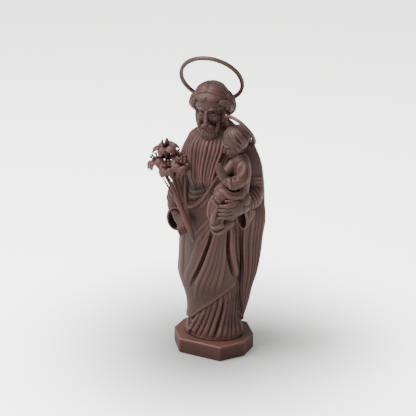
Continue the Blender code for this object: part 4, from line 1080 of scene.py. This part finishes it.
# Floor, light and camera
studio = {
    "floorColour": (0.93, 0.925, 0.91, 1), "floorGlow": 1.9, "floorRoughness": 0.9, "floorReach": 6,
    # a painted shadow round the plinth, soft and grey, with its reach in metres
    "paintedShadowColour": (0.05, 0.05, 0.05, 1), "paintedShadowReach": 0.27, "paintedShadowShare": 0.97,
    "worldColour": (1.0, 0.99, 0.97, 1), "worldStrength": 0.6,
    # place, energy, size of each lamp, and the point that all of them face
    "lamps": (((-0.5, -0.45, 1.4), 74.0, 0.6), ((0.5, -0.4, 1.3), 6.0, 0.6), ((0.1, 0.9, 1.0), 4.0, 0.7)),
    "lampsFace": (0, 0, 0.15),
}
clay = bmesh.new()
bmesh.ops.create_grid(clay, x_segments=1, y_segments=1, size=studio["floorReach"])
floor = objectOf("floor", clay)
bpy.context.scene.collection.objects.link(floor)
paper = bpy.data.materials.new("paper")
paper.use_nodes = True
paperShader = paper.node_tree.nodes["Principled BSDF"]
onFloor = Wire(paper.node_tree, None).node("ShaderNodeTexCoord", output=3)      # Object coordinates
# painted shadow: the floor's colour and glow darken towards the plinth
awayness = onFloor.node("ShaderNodeVectorMath", {"operation": "LENGTH"}, {0: onFloor}, output=1)
paintedShadow = (1.0 - awayness * (1 / studio["paintedShadowReach"])).clamped()
paintedShadow = paintedShadow * paintedShadow * (3.0 - 2.0 * paintedShadow) * studio["paintedShadowShare"]      # a smooth falloff
shadowedFloor = paintedShadow.mixed(studio["floorColour"], studio["paintedShadowColour"])
for name in ("Base Color", "Emission Color"):
    paper.node_tree.links.new(shadowedFloor.socket, paperShader.inputs[name])
paperShader.inputs["Roughness"].default_value = studio["floorRoughness"]
paperShader.inputs["Emission Strength"].default_value = studio["floorGlow"]
floor.data.materials.append(paper)
world = bpy.data.worlds.new("studio")
bpy.context.scene.world = world
world.use_nodes = True
world.node_tree.nodes["Background"].inputs[0].default_value = studio["worldColour"]
world.node_tree.nodes["Background"].inputs[1].default_value = studio["worldStrength"]
for place, energy, size in studio["lamps"]:
    lamp = bpy.data.lights.new("softbox", "AREA")
    lamp.energy = energy
    lamp.size = size
    held = bpy.data.objects.new("softbox", lamp)
    held.location = place
    aim = Vector(place) - Vector(studio["lampsFace"])
    held.rotation_euler = aim.to_track_quat("Z", "Y").to_euler()
    bpy.context.scene.collection.objects.link(held)

camera = {
    "turn": 26.262, "rise": 20.865, "distance": 1.190689, "focalPixels": 1200, "framePixels": 416,
    "target": (0, 0, 0.148523), "aside": -0.00582, "above": 0.00169,
}
turn, rise = math.radians(camera["turn"]), math.radians(camera["rise"])
back = Vector((math.sin(turn) * math.cos(rise), -math.cos(turn) * math.cos(rise), math.sin(rise)))
right = Vector((math.cos(turn), math.sin(turn), 0))
eye = bpy.data.cameras.new("camera")
eye.sensor_width = 36
eye.lens = camera["focalPixels"] * eye.sensor_width / camera["framePixels"]
eyeHolder = bpy.data.objects.new("camera", eye)
offset = right * camera["aside"] + back.cross(right) * camera["above"]
eyeHolder.location = Vector(camera["target"]) + offset + back * camera["distance"]
eyeHolder.rotation_euler = back.to_track_quat("Z", "Y").to_euler()
bpy.context.scene.collection.objects.link(eyeHolder)
bpy.context.scene.camera = eyeHolder
print("set the stage")
